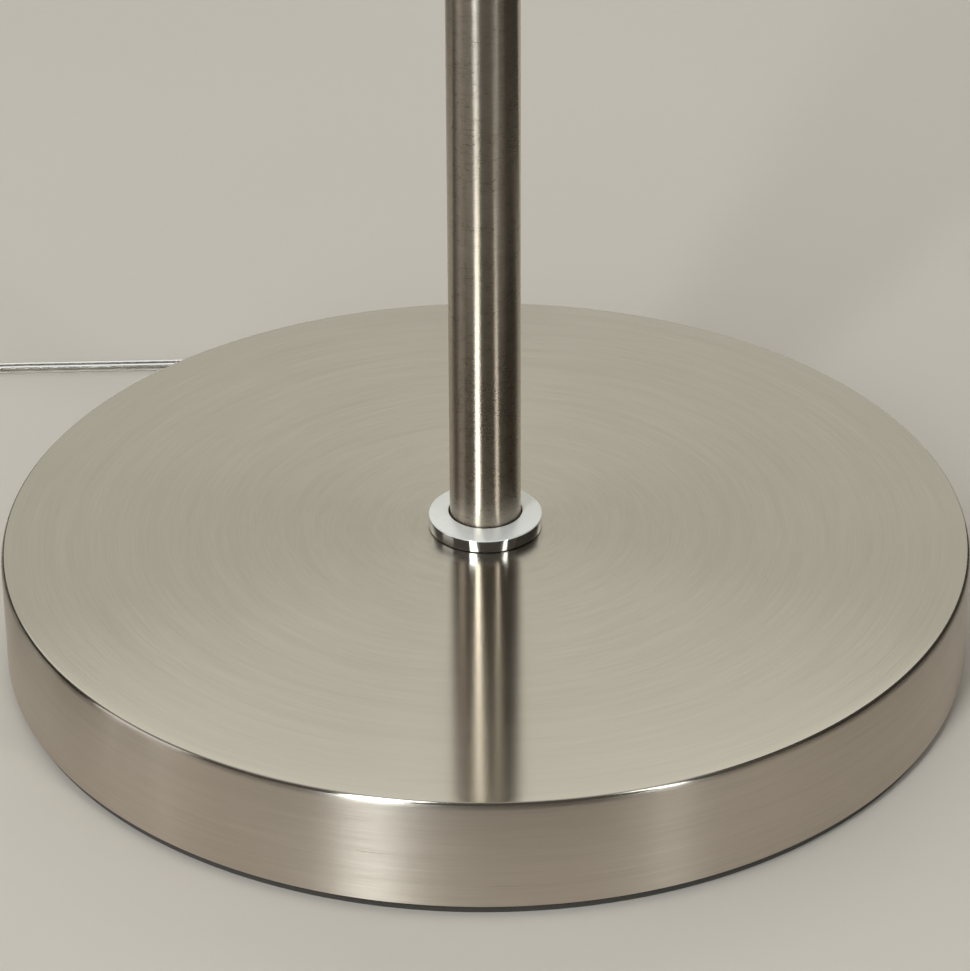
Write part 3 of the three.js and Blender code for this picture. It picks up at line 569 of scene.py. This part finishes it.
TO_COIL = [
    (SWITCH_X, block_low.y - 0.3, SWITCH_SPLIT),
    (SWITCH_X, switch_low.y - 3, SWITCH_SPLIT),
    (SWITCH_X - 0.2, switch_low.y - 10, SWITCH_SPLIT - 1.6),
    (SWITCH_X - 1.2, -67, 2.4),
    (SWITCH_X - 2.8, -79, FLEX_LIE),
    (COIL_CENTRE.x - LEAD_SIDE - 0.4, -104, FLEX_LIE),
]
TO_PLUG = [
    (COIL_CENTRE.x + LEAD_SIDE - 0.4, COIL_CENTRE.y + 12, 5),
    (COIL_CENTRE.x + LEAD_SIDE - 5, COIL_CENTRE.y + 26, 4),
    (PLUG_X + 6, COIL_CENTRE.y + 37, 4.4),
    (PLUG_X + 1, plug_low.y - 7.3, 6),
    (PLUG_X, plug_low.y - 2.8, PLUG_LEVEL - 0.1),
    (PLUG_X, plug_low.y - 0.3, PLUG_LEVEL),
]


def coil_points():
    """The turns: in along the lower layer, up to the upper one, and out again, on edge."""
    outside = COIL_RADIUS - FLEX_THICKNESS / 2 - 0.02
    quarter = 0.25
    climb = 0.5
    layer = (COIL_TURNS - 2 * quarter - climb) / 2
    points = []
    for i in range(round(COIL_TURNS * COIL_STEPS) + 1):
        turn = i / COIL_STEPS
        left = COIL_TURNS - turn
        inward = min(turn, left) - quarter
        radius = outside - COIL_PITCH * min(max(inward, 0), layer)
        ease = smooth(-inward / quarter)
        radius += (LEAD_SIDE - outside) * ease
        rise = smooth((turn - quarter - layer) / climb)
        height = COIL_LEVELS[0] + (COIL_LEVELS[1] - COIL_LEVELS[0]) * rise
        outer_height = FLEX_LIE if turn < left else 6
        height += (outer_height - height) * ease
        angle = math.pi + TAU * turn
        points.append((COIL_CENTRE.x + radius * math.cos(angle), COIL_CENTRE.y + radius * math.sin(angle), height))
    return points


def route_length(points):
    return sum((Vector(b) - Vector(a)).length for a, b in zip(points, points[1:]))


def make_cords():
    # The first core takes the dark strands, which paint the shadow line.
    sheath = [FINISHES["clear_pvc"], CORE_PAINTED_SHADOW, TINNED]
    first = Shape()
    route, total = flex(first, SWITCH_ROUTE, lambda share: 0)
    cord = first.piece("switch_cord", sheath, replaces=["switch_lead"], slot="clear_pvc", sharp=70)
    first_facts = (cord, route, total)

    wound = coil_points()
    lead_in, lead_out = route_length([*TO_COIL, wound[0]]), route_length([wound[-1], *TO_PLUG])
    in_coil = route_length(wound)
    whole = lead_in + in_coil + lead_out
    twist_length = TAU * COIL_RADIUS / 4

    def twist(share):
        walked = share * whole
        into = smooth((walked - lead_in) / twist_length)
        out = smooth((whole - lead_out - walked) / twist_length)
        return math.pi / 2 * min(into, out)

    second = Shape()
    route, total = flex(second, TO_COIL + wound + TO_PLUG, twist)
    nodes = ["plug_lead", "lead_coil", "plug_tail"]
    cord = second.piece("plug_cord", sheath, replaces=nodes, slot="clear_pvc", sharp=70)
    return first_facts, (cord, route, total)


cords = make_cords()

# ---------------------------------------------------------------- base

EDGE_ROUND = 1.2
EDGE_DROP = 2.6
COVER_WALL = 1.2
RIM_HEIGHT = base_high.z - 1.3
FOOT_HOLE = 5.3


def crown(radius):
    share = radius / (BASE_RADIUS - EDGE_ROUND)
    return RIM_HEIGHT + (base_high.z - RIM_HEIGHT) * (1 - share ** 4)


def make_base():
    bottom = base_low.z
    inner = BASE_RADIUS - COVER_WALL
    edge = BASE_RADIUS - EDGE_ROUND
    top_radii = [edge - 0.2 - (edge - 0.2 - FOOT_HOLE) * i / 48 for i in range(1, 49)]
    outline = [
        (inner, bottom + 0.3),
        (inner + 0.3, bottom),
        (BASE_RADIUS - 0.3, bottom),
        (BASE_RADIUS, bottom + 0.3),
        (BASE_RADIUS, bottom + 12),
        (BASE_RADIUS, bottom + 24),
        *arc((edge, RIM_HEIGHT - EDGE_DROP), (EDGE_ROUND, EDGE_DROP), 0, 90, 16),
        *[(r, crown(r)) for r in top_radii],
        *[(r, crown(r) - COVER_WALL) for r in reversed(top_radii[::6])],
        (inner - 1, RIM_HEIGHT - COVER_WALL - 0.2),
        (inner, RIM_HEIGHT - COVER_WALL - 1.2),
    ]
    shape = Shape().turned(outline, 360)
    level = RIM_HEIGHT - 0.9
    # Faces above the rim take the top finish, whose darker colour is painted shade.
    shape.finishes = [int(min(shape.points[p][2] for p in face) > level) for face in shape.faces]
    finishes = [finish_of("base_cover"), SATIN_TOP_SHADED]
    shape.piece("base_cover_fine", finishes, replaces=["base_cover"], slot="satin_nickel")

    # Where the pad shows under the cover's edge, its dark felt stands in for the contact shadow there: painted shade as
    # well as the pad's own colour.
    low, high = box_mm("base_pad")
    pad = [(112, low.z, 0.3), (high.x, low.z, 0.4), (high.x, high.z, 0.3), (112, high.z, 0.3)]
    shape = Shape().turned(rounded(pad, 3), 180)
    shape.piece("base_pad_fine", finish_of("base_pad"), replaces=["base_pad"], slot="felt")


def radial_matrix():
    """Frame whose Z points out of the base along the lead, and whose X points up."""
    up = Vector((0, 0, 1))
    side = EXIT_OUT.cross(up)
    matrix = Matrix((up, side, EXIT_OUT)).transposed().to_4x4()
    matrix.translation = EXIT_OUT * BASE_RADIUS + Vector((0, 0, EXIT_HEIGHT))
    return matrix


def make_grommet():
    """Tapered strain relief with bending grooves."""
    tip = 22.0
    outline = [(2.7, -5.5, 0.3), (6.0, -5.5, 0.4), (6.4, -1.8, 0.3), (4.6, -1.8), (4.6, 0.4),
               (6.2, 0.4, 0.5), (6.2, 2.4, 0.8), (5.0, 3.6, 0.8)]
    ribs = 5
    for i in range(ribs):
        start = 5.0 + i * 3.0
        taper = 5.0 - 1.5 * (start - 4) / (tip - 4)
        outline += [(taper, start, 0.3), (taper - 0.8, start + 0.3, 0.3), (taper - 0.85, start + 1.3, 0.3),
                    (taper - 0.1, start + 1.6, 0.3)]
    outline += [(3.4, tip - 0.5, 0.3), (3.0, tip, 0.2), (2.7, tip)]
    # The lathe's axis is Z, and the bore is left to the flex that fills it.
    shape = Shape().turned(rounded(outline, 3), 48).moved(radial_matrix())
    return shape.piece("cord_grommet_fine", FINISHES["clear_pvc"], replaces=["cord_grommet"], slot="clear_pvc")


make_base()
grommet = make_grommet()

# ---------------------------------------------------------------- pole

POLE_WALL = 1.0


def make_pole():
    low, high = box_mm("foot_ring")
    inner = box_mm("pole_lower")[1].x + 0.4
    cone = 1.1
    outline = [
        (inner, low.z, 0.1),
        (high.x, low.z, 0.25),
        (high.x, high.z - cone, 0.55),
        (inner, high.z, 0.3),
    ]
    shape = Shape().turned(rounded(outline, 6), 192)
    # Faces on the ring's top take the near-white finish, which is painted light.
    shape.finishes = [int(min(shape.points[p][2] for p in face) > high.z - cone - 0.3) for face in shape.faces]
    shape.piece("foot_ring_fine", [FINISHES["chrome"], RING_TOP_LIT], replaces=["foot_ring"], slot="chrome")

    for name in ("pole_lower", "pole_middle", "pole_upper"):
        low, high = box_mm(name)
        radius = high.x
        outline = [
            (radius - POLE_WALL, low.z, 0.2),
            (radius, low.z, 0.3),
            (radius, high.z, 0.3),
            (radius - POLE_WALL, high.z, 0.2),
        ]
        shape = Shape().turned(rounded(outline, 3), 160)
        shape.piece(name + "_fine", POLE_TUBE_SHADED, replaces=[name], slot="satin_nickel")

    for name in ("joint_ring_lower", "joint_ring_middle"):
        low, high = box_mm(name)
        outline = [(5.3, low.z), (high.x, low.z, 0.8), (high.x, high.z, 0.8), (5.3, high.z)]
        shape = Shape().turned(rounded(outline, 6), 128)
        shape.piece(name + "_fine", FINISHES["chrome"], replaces=[name], slot="chrome")


make_pole()

# ---------------------------------------------------------------- head

BORE = 5.3


def nut(shape, across, low, high):
    """Hex nut with chamfered corners and a bore."""
    def row(limit, height):
        points = []
        for i in range(72):
            angle = TAU * i / 72
            reach = across / 2 / math.cos((angle % (TAU / 6)) - TAU / 12)
            reach = min(reach, limit)
            points.append((reach * math.cos(angle), reach * math.sin(angle), height))
        return points

    corner = across / math.sqrt(3)
    rows = [row(BORE, low + 0.5), row(BORE + 0.5, low), row(across / 2 * 0.98, low), row(corner, low + 1.1),
            row(corner, high - 1.1), row(across / 2 * 0.98, high), row(BORE + 0.5, high), row(BORE, high - 0.5)]
    shape.rows(rows, wrap_rows=True)
    return shape


def make_head():
    low, high = box_mm("bowl_cup")
    wall = 1.2
    lip = high.x - wall
    foot = 13.5
    reach = lip - foot
    rise = high.z - low.z - 8
    middle = (lip, low.z + 5)
    outline = [
        (BORE, low.z),
        (foot - 0.6, low.z),
        (foot, low.z + 0.6),
        *arc(middle, (reach, rise), 180, 90, 40),
        (high.x - 0.3, high.z - 2.8),
        (high.x, high.z - 2.3),
        (high.x, high.z - 0.4),
        (high.x - 0.4, high.z),
        (lip + 0.3, high.z),
        (lip, high.z - 0.4),
        *arc(middle, (reach - wall, rise + wall), 90, 180, 40),
        (foot + wall, low.z + 2),
        (BORE, low.z + 2),
    ]
    shape = Shape().turned(outline, 192)
    shape.piece("bowl_cup_fine", finish_of("bowl_cup"), replaces=["bowl_cup"], slot="satin_nickel")

    low, high = box_mm("glass_bowl")
    flat, glass = 32, 4
    depth = high.z - low.z
    lift = (high.x ** 2 + depth ** 2 - flat ** 2) / (2 * depth)
    outer = math.hypot(flat, lift)
    inner = outer - glass
    middle = (0, low.z + lift)

    def polar(height, radius):
        return math.degrees(math.asin((height - lift) / radius))

    rim_outer = polar(depth - 2.0, outer)
    rim_inner = polar(depth - 2.0, inner)
    rim_points = [arc(middle, (r, r), a, a, 1)[0] for r, a in ((outer, rim_outer), (inner, rim_inner))]
    rim_centre = ((rim_points[0][0] + rim_points[1][0]) / 2, high.z - 2.0)
    rim_half = (rim_points[0][0] - rim_points[1][0]) / 2
    outline = [
        (7, low.z),
        *arc(middle, (outer, outer), polar(0, outer), rim_outer, 48),
        *arc(rim_centre, (rim_half, 2.0), 0, 180, 10)[1:-1],
        *arc(middle, (inner, inner), rim_inner, polar(glass, inner), 48),
        (7, low.z + glass),
    ]
    shape = Shape().turned(outline, 192)
    shape.piece("glass_bowl_fine", finish_of("glass_bowl"), replaces=["glass_bowl"], slot="opal_glass")

    for node in ("bowl_seat", "gasket_lower", "gasket_upper", "bowl_washer"):
        low, high = box_mm(node)
        soft = 0.4
        outline = [(BORE, low.z), (high.x, low.z, soft), (high.x, high.z, soft), (BORE, high.z)]
        shape = Shape().turned(rounded(outline, 3), 96)
        shape.piece(node + "_fine", finish_of(node), replaces=[node], slot=SLOT_OF[node])
    low, high = box_mm("bowl_nut")
    shape = nut(Shape(), 17, low.z, high.z)
    shape.piece("bowl_nut_fine", finish_of("bowl_nut"), replaces=["bowl_nut"], slot="zinc_steel", sharp=25)


def make_holder():
    low, high = box_mm("holder_cap")
    z = low.z
    outline = [
        (BORE, z), (14, z, 1), (19.6, z + 6, 2), (19.6, z + 16, 0.4), (18, z + 16, 0.3),
        (18, z + 7), (13, z + 2), (BORE, z + 2),
    ]
    shape = Shape().turned(rounded(outline, 5), 96)
    shape.piece("holder_cap_fine", finish_of("holder_cap"), replaces=["holder_cap"], slot="black_plastic")

    low, high = box_mm("holder_skirt")
    segments = 192
    ribs = 32
    outline = rounded([
        (15, low.z, 0.3), (19.6, low.z, 0.4), (20, low.z + 1.6, 0.4), (20, high.z - 6, 1),
        (19, high.z, 0.8), (15, high.z, 0.5),
    ], 4)
    grip_low, grip_high = low.z + 3, high.z - 8
    rows = []
    for radius, height in densified(outline, 1.2):
        row = []
        for i in range(segments):
            angle = TAU * i / segments
            inside = smooth((height - grip_low) / 1.2) * smooth((grip_high - height) / 1.2)
            groove = 0.5 * inside * max(0, math.cos(ribs * angle)) ** 2 if radius > 18.5 else 0
            row.append(((radius - groove) * math.cos(angle), (radius - groove) * math.sin(angle), height))
        rows.append(row)
    shape = Shape()
    shape.rows(rows, wrap_rows=True)
    shape.piece("holder_skirt_fine", finish_of("holder_skirt"), replaces=["holder_skirt"], slot="black_plastic")


def densified(outline, step):
    """A closed outline with points added so that none is further than a step from the next."""
    points = []
    for a, b in zip(outline, outline[1:] + outline[:1]):
        count = max(1, math.ceil(math.dist(a, b) / step))
        points += [tuple(Vector(a).lerp(Vector(b), i / count)) for i in range(count)]
    return points


def make_bulb():
    low, high = box_mm("bulb_tip")
    outline = rounded([(0, low.z), (3.4, low.z, 0.5), (4.6, high.z - 0.8, 0.4), (4.6, high.z, 0.1), (0, high.z)],
                      3, closed=False)
    shape = Shape().turned(outline, 48, closed=False)
    shape.piece("bulb_tip_fine", finish_of("bulb_tip"), "bulb", ["bulb_tip"], "brass")

    low, high = box_mm("bulb_thread")
    pitch, segments = 3.6, 96
    rows = [[(0, 0, low.z)]]
    levels = 84
    for k in range(levels + 1):
        height = low.z + (high.z - low.z) * k / levels
        ends = smooth((height - low.z - 0.6) / 1.5) * smooth((high.z - 2.4 - height) / 1.5)
        row = []
        for i in range(segments):
            angle = TAU * i / segments
            wave = math.cos(TAU * (height / pitch) - angle)
            radius = 12.85 + 0.35 * wave * ends
            if height < low.z + 1.9:
                radius = 6.4 + (radius - 6.4) * math.sin(math.pi / 2 * (height - low.z) / 1.9)
            row.append((radius * math.cos(angle), radius * math.sin(angle), height))
        rows.append(row)
    rows.append([(0, 0, high.z)])
    shape = Shape()
    shape.rows(rows)
    shape.piece("bulb_thread_fine", finish_of("bulb_thread"), "bulb", ["bulb_thread"], "zinc_steel")

    low, high = box_mm("bulb_collar")
    outline = rounded([
        (0, low.z), (13.2, low.z, 0.3), (14.4, low.z + 3.7, 2), (18.6, low.z + 14.7, 3), (18.6, high.z, 0.5),
        (0, high.z),
    ], 6, closed=False)
    shape = Shape().turned(outline, 96, closed=False)
    shape.piece("bulb_collar_fine", finish_of("bulb_collar"), "bulb", ["bulb_collar"], "white_plastic")

    low, high = box_mm("bulb_globe")
    radius = high.x
    neck = 18.4
    centre = low.z + math.sqrt(radius ** 2 - neck ** 2)
    start = math.degrees(math.asin((low.z - centre) / radius))
    outline = [(0, low.z), *arc((0, centre), (radius, radius), start, 90, 40)[:-1], (0, centre + radius)]
    shape = Shape().turned(outline, 128, closed=False)
    shape.piece("bulb_globe_fine", finish_of("bulb_globe"), "bulb", ["bulb_globe"], SLOT_OF["bulb_globe"])


make_head()
make_holder()
make_bulb()

# ---------------------------------------------------------------- foot switch

SWITCH_WALL = 1.8


def facing(row, radius, height):
    """A level circle whose points face those of an oblong row."""
    points = []
    for x, y, _ in row:
        angle = math.atan2(y, x)
        points.append((radius * math.cos(angle), radius * math.sin(angle), height))
    return points


def make_switch():
    length, width = switch_high.y - switch_low.y, switch_high.x - switch_low.x
    top, split = switch_high.z, SWITCH_TRAY_TOP + 0.3
    button_low, button_high = box_mm("switch_button")
    hole = 11.3
    there = Matrix.Translation((SWITCH_X, SWITCH_Y, 0))

    def level(inset, height):
        return oblong(length - 2 * inset, width - 2 * inset, height)

    edge = 3.4
    outside = [(0.25, split), (0, split + 0.3), (0, split + 3), (0, top - edge - 1.5)]
    outside += [(edge - x, top - edge + z) for x, z in arc((0, 0), (edge, edge), 0, 90, 8)]
    rows = [level(inset, height) for inset, height in outside]
    rows.append(level(edge + 1.2, top))
    flat = rows[-1]
    rows += [facing(flat, r, z) for r, z in ((15.0, top), (14.3, top - 0.1), (13.6, top - 0.7), (12.4, top - 0.8),
                                             (hole + 0.3, top - 0.8), (hole, top - 1.1), (hole, top - 1.8))]
    rows += [level(SWITCH_WALL + 1.5, top - 1.8), level(SWITCH_WALL, top - 3.5), level(SWITCH_WALL, split)]
    shape = Shape()
    shape.rows(rows, wrap_rows=True)
    cover = shape.moved(there).piece("switch_cover_fine", finish_of("switch_cover"), replaces=["switch_cover"],
                                     slot="white_plastic", sharp=32)

    low, high = box_mm("switch_base")
    sections = [(1.4, low.z), (0.9, low.z + 0.15), (0.2, low.z + 0.8), (0, low.z + 1.6), (0, high.z - 0.3),
                (0.25, high.z), (SWITCH_WALL, high.z), (SWITCH_WALL, 2), (SWITCH_WALL + 6, 2)]
    rows = [[(0, 0, low.z)], *[level(inset, height) for inset, height in sections], [(0, 0, 2)]]
    shape = Shape()
    shape.rows(rows)
    tray = shape.moved(there).piece("switch_base_fine", finish_of("switch_base"), replaces=["switch_base"],
                                    slot="white_plastic", sharp=32)

    flange = top - SWITCH_WALL - 0.3
    outline = rounded([
        (0, button_low.z), (3, button_low.z), (3, flange - 1.8), (12.6, flange - 1.8, 0.3), (12.6, flange, 0.3),
        (11, flange, 0.2), (11, button_high.z, 1.6), (8.6, button_high.z, 0.8), (7.6, button_high.z - 0.6, 1.5),
        (0, button_high.z - 0.6),
    ], 5, closed=False)
    shape = Shape().turned(outline, 96, centre=(SWITCH_X, SWITCH_Y), closed=False)
    button = shape.piece("switch_button_fine", finish_of("switch_button"), "button", ["switch_button"],
                         "grey_plastic", sharp=32)

    collars = []
    for name, y, sign in (("in", switch_high.y, 1), ("out", switch_low.y, -1)):
        shape = Shape()
        rows = []
        for reach, half_width, half_height in ((-1.5, 4.6, 3.2), (0.6, 4.6, 3.2), (1.2, 4.3, 2.9), (6, 3.5, 2.1),
                                               (6.4, 3.2, 1.8), (6.4, 2.6, 1.35), (-1.5, 2.6, 1.35)):
            row = []
            for i in range(48):
                angle = TAU * i / 48
                c, s = math.cos(angle), math.sin(angle)
                x = half_width * math.copysign(abs(c) ** 0.6, c)
                z = half_height * math.copysign(abs(s) ** 0.6, s)
                row.append((SWITCH_X + sign * x, y + sign * reach, SWITCH_SPLIT + z))
            rows.append(row)
        shape.rows(rows, wrap_rows=True)
        collars.append(shape.piece(f"switch_collar_{name}", FINISHES["grey_plastic"], slot="grey_plastic"))
    return [cover, tray, button, *collars]


switch_pieces = make_switch()

# ---------------------------------------------------------------- coil tie and plug


def make_spring():
    """Coil spring below the button, on a mesh of its own."""
    low, high = box_mm("switch_spring")
    wire, turns, steps, sides = 0.45, 4, 40, 12
    reach, tall = (high.x - low.x) / 2 - wire, high.z - low.z - 2 * wire
    rows = []
    for i in range(turns * steps + 1):
        turn, rise = TAU * i / steps, low.z + wire + tall * i / (turns * steps)
        row = []
        for j in range(sides):
            out, up = wire * math.cos(TAU * j / sides), -wire * math.sin(TAU * j / sides)
            row.append((SWITCH_X + (reach + out) * math.cos(turn), SWITCH_Y + (reach + out) * math.sin(turn), rise + up))
        rows.append(row)
    shape = Shape()
    marks = shape.rows(rows)
    shape.end(marks[0], flip=True)
    shape.end(marks[-1])
    spring = shape.piece("switch_spring_fine", finish_of("switch_spring"), replaces=["switch_spring"],
                         slot="zinc_steel")
    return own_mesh(spring)


def make_tie():
    low, high = box_mm("coil_tie")
    middle = (low + high) / 2
    half_y, half_z = (high.y - low.y) / 2, (high.z - low.z) / 2
    thick, width = 0.8, high.x - low.x
    corner = 2.6
    outer = rounded([(half_y, -half_z, corner), (half_y, half_z, corner), (-half_y, half_z, corner),
                     (-half_y, -half_z, corner)], 8)
    inner = rounded([(half_y - thick, thick - half_z, corner - thick), (half_y - thick, half_z - thick, corner - thick),
                     (thick - half_y, half_z - thick, corner - thick),
                     (thick - half_y, thick - half_z, corner - thick)], 8)
    shape = Shape()
    rows = []
    lip = 0.25
    for ring, x in ((outer, -width / 2 + lip), (outer, width / 2 - lip), (inner, width / 2), (inner, -width / 2)):
        rows.append([(middle.x + x, middle.y + y, middle.z + z) for y, z in ring])
    shape.rows(rows, wrap_rows=True)
    head = []
    for x, half, rise in ((-3.6, 2.0, 1.2), (-3.2, 2.4, 1.6), (3.2, 2.4, 1.6), (3.6, 2.0, 1.2)):
        block = rounded([(half, -rise, 0.5), (half, rise, 0.5), (-half, rise, 0.5), (-half, -rise, 0.5)], 4)
        head.append([(middle.x + x, low.y - 0.9 + z, middle.z + y) for y, z in block])
    marks = shape.rows(head)
    shape.end(marks[0], flip=True)
    shape.end(marks[-1])
    return shape.piece("coil_tie_fine", finish_of("coil_tie"), replaces=["coil_tie"], slot="black_plastic")


def superellipse(x, y, half_width, half_height, power, count=72):
    """Section of the plug: an upright row of points at one place along its length."""
    row = []
    for i in range(count):
        angle = TAU * i / count
        c, s = math.cos(angle), math.sin(angle)
        u = half_width * math.copysign(abs(c) ** (2 / power), c)
        v = half_height * math.copysign(abs(s) ** (2 / power), s)
        row.append((x - u, y, PLUG_LEVEL + v))
    return row


def make_plug():
    front = plug_high.y
    half, deep = (plug_high.x - plug_low.x) / 2, (plug_high.z - plug_low.z) / 2
    body = [
        (0, half - 1.5, deep - 1.5, 5), (0.3, half - 0.7, deep - 0.7, 5), (1.2, half - 0.1, deep - 0.1, 5),
        (2.4, half, deep, 5), (9, half, deep, 5), (14, half - 0.2, deep - 0.1, 5), (17, half - 1.3, deep - 0.4, 5),
        (21, half - 3.9, deep - 0.8, 4.6), (26, half - 7.1, deep - 0.9, 4.2), (31, half - 9.7, deep - 0.7, 3.8),
        (34, half - 10.7, deep - 0.9, 3.2), (36, half - 11.6, deep - 1.3, 2.6),
    ]
    boot_start, boot_end = 37.5, front - plug_low.y
    ribs = 5
    for i in range(ribs):
        start = boot_start + i * (boot_end - boot_start - 2) / ribs
        radius = 5.4 - 2.1 * (start - boot_start) / (boot_end - boot_start)
        body += [(start, radius, radius, 2.2), (start + 1.6, radius - 0.15, radius - 0.15, 2.1),
                 (start + 1.9, radius - 0.8, radius - 0.8, 2), (start + 3.0, radius - 0.95, radius - 0.95, 2)]
    body += [(boot_end - 1.8, 3.4, 3.3, 2), (boot_end - 0.4, 3.3, 3.2, 2), (boot_end, 2.9, 2.8, 2)]
    shape = Shape()
    marks = shape.rows([superellipse(PLUG_X, front - y, a, b, n) for y, a, b, n in body])
    shape.end(marks[0], flip=True)
    shape.end(marks[-1])
    pieces = [shape.piece("plug_body_fine", finish_of("plug_body"), replaces=["plug_body"], slot="white_plastic",
                          sharp=34)]
    for number in (1, 2):
        node = f"plug_pin_{number}"
        low, high = box_mm(node)
        x = (low.x + high.x) / 2
        radius = (high.x - low.x) / 2
        lying = Matrix.Translation((x, 0, PLUG_LEVEL)) @ Matrix.Rotation(-math.pi / 2, 4, "X")
        sleeve_end = front + 10
        tip = arc((0, high.y - radius), (radius, radius), 0, 90, 8)[:-1]
        outline = [(0, front - 6), (radius - 0.35, front - 6), (radius - 0.35, sleeve_end), (radius, sleeve_end + 0.3),
                   *tip, (0, high.y)]
        shape = Shape().turned(outline, 40, closed=False).moved(lying)
        pieces.append(shape.piece(node + "_fine", finish_of(node), replaces=[node], slot="zinc_steel"))
        sleeve = [(radius - 0.3, front - 3), (radius, front - 3), (radius, sleeve_end - 0.2),
                  (radius - 0.3, sleeve_end)]
        shape = Shape().turned(sleeve, 40).moved(lying)
        pieces.append(shape.piece(f"plug_sleeve_{number}", FINISHES["black_plastic"], slot="black_plastic"))
    return pieces


tie = make_tie()
plug_pieces = make_plug()
spring = make_spring()

# ---------------------------------------------------------------- finishes of the CAD nodes that stay

for node, kept in frame["nodes"].items():
    kept.data.materials.clear()
    kept.data.materials.append(finish_of(node))

# ---------------------------------------------------------------- floor and light

FLOOR_REACH = 30.0
CARD_LIFT = 0.004


def make_floor():
    graph = Graph("pale_floor")
    place = graph.place()
    slow = graph.noise(place, 1.7, 3.0, 0.5)
    fine = graph.noise(place, 240, 5.0, 0.6)
    tone = graph.blend(graph.spread(slow, 0, 1), (0.72, 0.65, 0.565), (0.77, 0.695, 0.61))
    graph.use("Base Color", tone)
    graph.use("Roughness", graph.spread(fine, 0.55, 0.7))
    graph.use("Normal", graph.bump(fine, 0.05, 0.0002))
    mesh = bpy.data.meshes.new("floor")
    corners = [(-FLOOR_REACH, -FLOOR_REACH, 0), (FLOOR_REACH, -FLOOR_REACH, 0), (FLOOR_REACH, FLOOR_REACH, 0),
               (-FLOOR_REACH, FLOOR_REACH, 0)]
    mesh.from_pydata(corners, [], [(0, 1, 2, 3)])
    mesh.materials.append(graph.material)
    floor = bpy.data.objects.new("floor", mesh)
    bpy.context.scene.collection.objects.link(floor)


def softbox(name, azimuth, elevation, distance, size, power, colour=(1, 1, 1), aim=(0, 0, 0.1)):
    """An area light that faces the base. Azimuth 0 is behind the camera, and 90 is on its right."""
    data = bpy.data.lights.new(name, "AREA")
    data.shape = "RECTANGLE"
    data.size, data.size_y = size
    data.energy = power
    data.color = colour
    light = bpy.data.objects.new(name, data)
    bpy.context.scene.collection.objects.link(light)
    turn, lift = math.radians(azimuth), math.radians(elevation)
    out = Vector((math.sin(turn) * math.cos(lift), -math.cos(turn) * math.cos(lift), math.sin(lift)))
    light.location = Vector(aim) + out * distance
    light.rotation_euler = out.to_track_quat("Z", "Y").to_euler()


def shade_card(name, azimuth, distance, size, lying=False):
    """A black card beside the base, upright or lying, which only reflections see: painted shade for the dark
    surroundings and shaded floor that the metal mirrors.
    """
    turn = math.radians(azimuth)
    out = Vector((math.sin(turn), -math.cos(turn), 0))
    side = Vector((0, 0, 1)).cross(out)
    rise = out if lying else Vector((0, 0, 1))
    width, height = size
    foot = out * distance + Vector((0, 0, CARD_LIFT))
    corners = [foot + side * u * width / 2 + rise * v * height for u, v in ((-1, 0), (1, 0), (1, 1), (-1, 1))]
    mesh = bpy.data.meshes.new(name)
    mesh.from_pydata([tuple(c) for c in corners], [], [(0, 1, 2, 3)])
    mesh.materials.append(FINISHES["felt"])
    card = bpy.data.objects.new(name, mesh)
    bpy.context.scene.collection.objects.link(card)
    for ray in ("camera", "diffuse", "shadow", "transmission"):
        setattr(card, "visible_" + ray, False)


def make_light():
    world = bpy.data.worlds.new("studio")
    world.use_nodes = True
    background = world.node_tree.nodes["Background"]
    background.inputs["Color"].default_value = (1.0, 0.96, 0.88, 1)
    background.inputs["Strength"].default_value = 0.1
    bpy.context.scene.world = world
    softbox("key_left", -25.0, 32, 4.0, (0.78, 4.4), 110, (0.86, 0.95, 1.0))
    softbox("fill_right", 40, 30, 4.0, (0.44, 3.4), 21, (0.9, 0.97, 1.0))
    softbox("fill_left", -80, 14, 3.6, (1.6, 2.0), 9)
    softbox("back_wall", 180, 27, 4.8, (10.0, 4.6), 84, (0.97, 1.0, 0.92))
    softbox("ceiling", 180, 71, 4.2, (7.0, 5.6), 60)
    # Black cards that only reflections see: painted shade of dark surroundings and shaded floor.
    shade_card("card_right", 97, 0.36, (0.5, 0.8))
    shade_card("card_left", -115, 0.4, (0.5, 0.14))
    shade_card("card_front", 0, 0.21, (1.6, 1.2), lying=True)
    shade_card("floor_left", -90, 0.2, (0.24, 0.4), lying=True)
    shade_card("floor_right", 95, 0.2, (0.5, 0.4), lying=True)


make_floor()
make_light()
bpy.context.scene.view_settings.view_transform = "Standard"
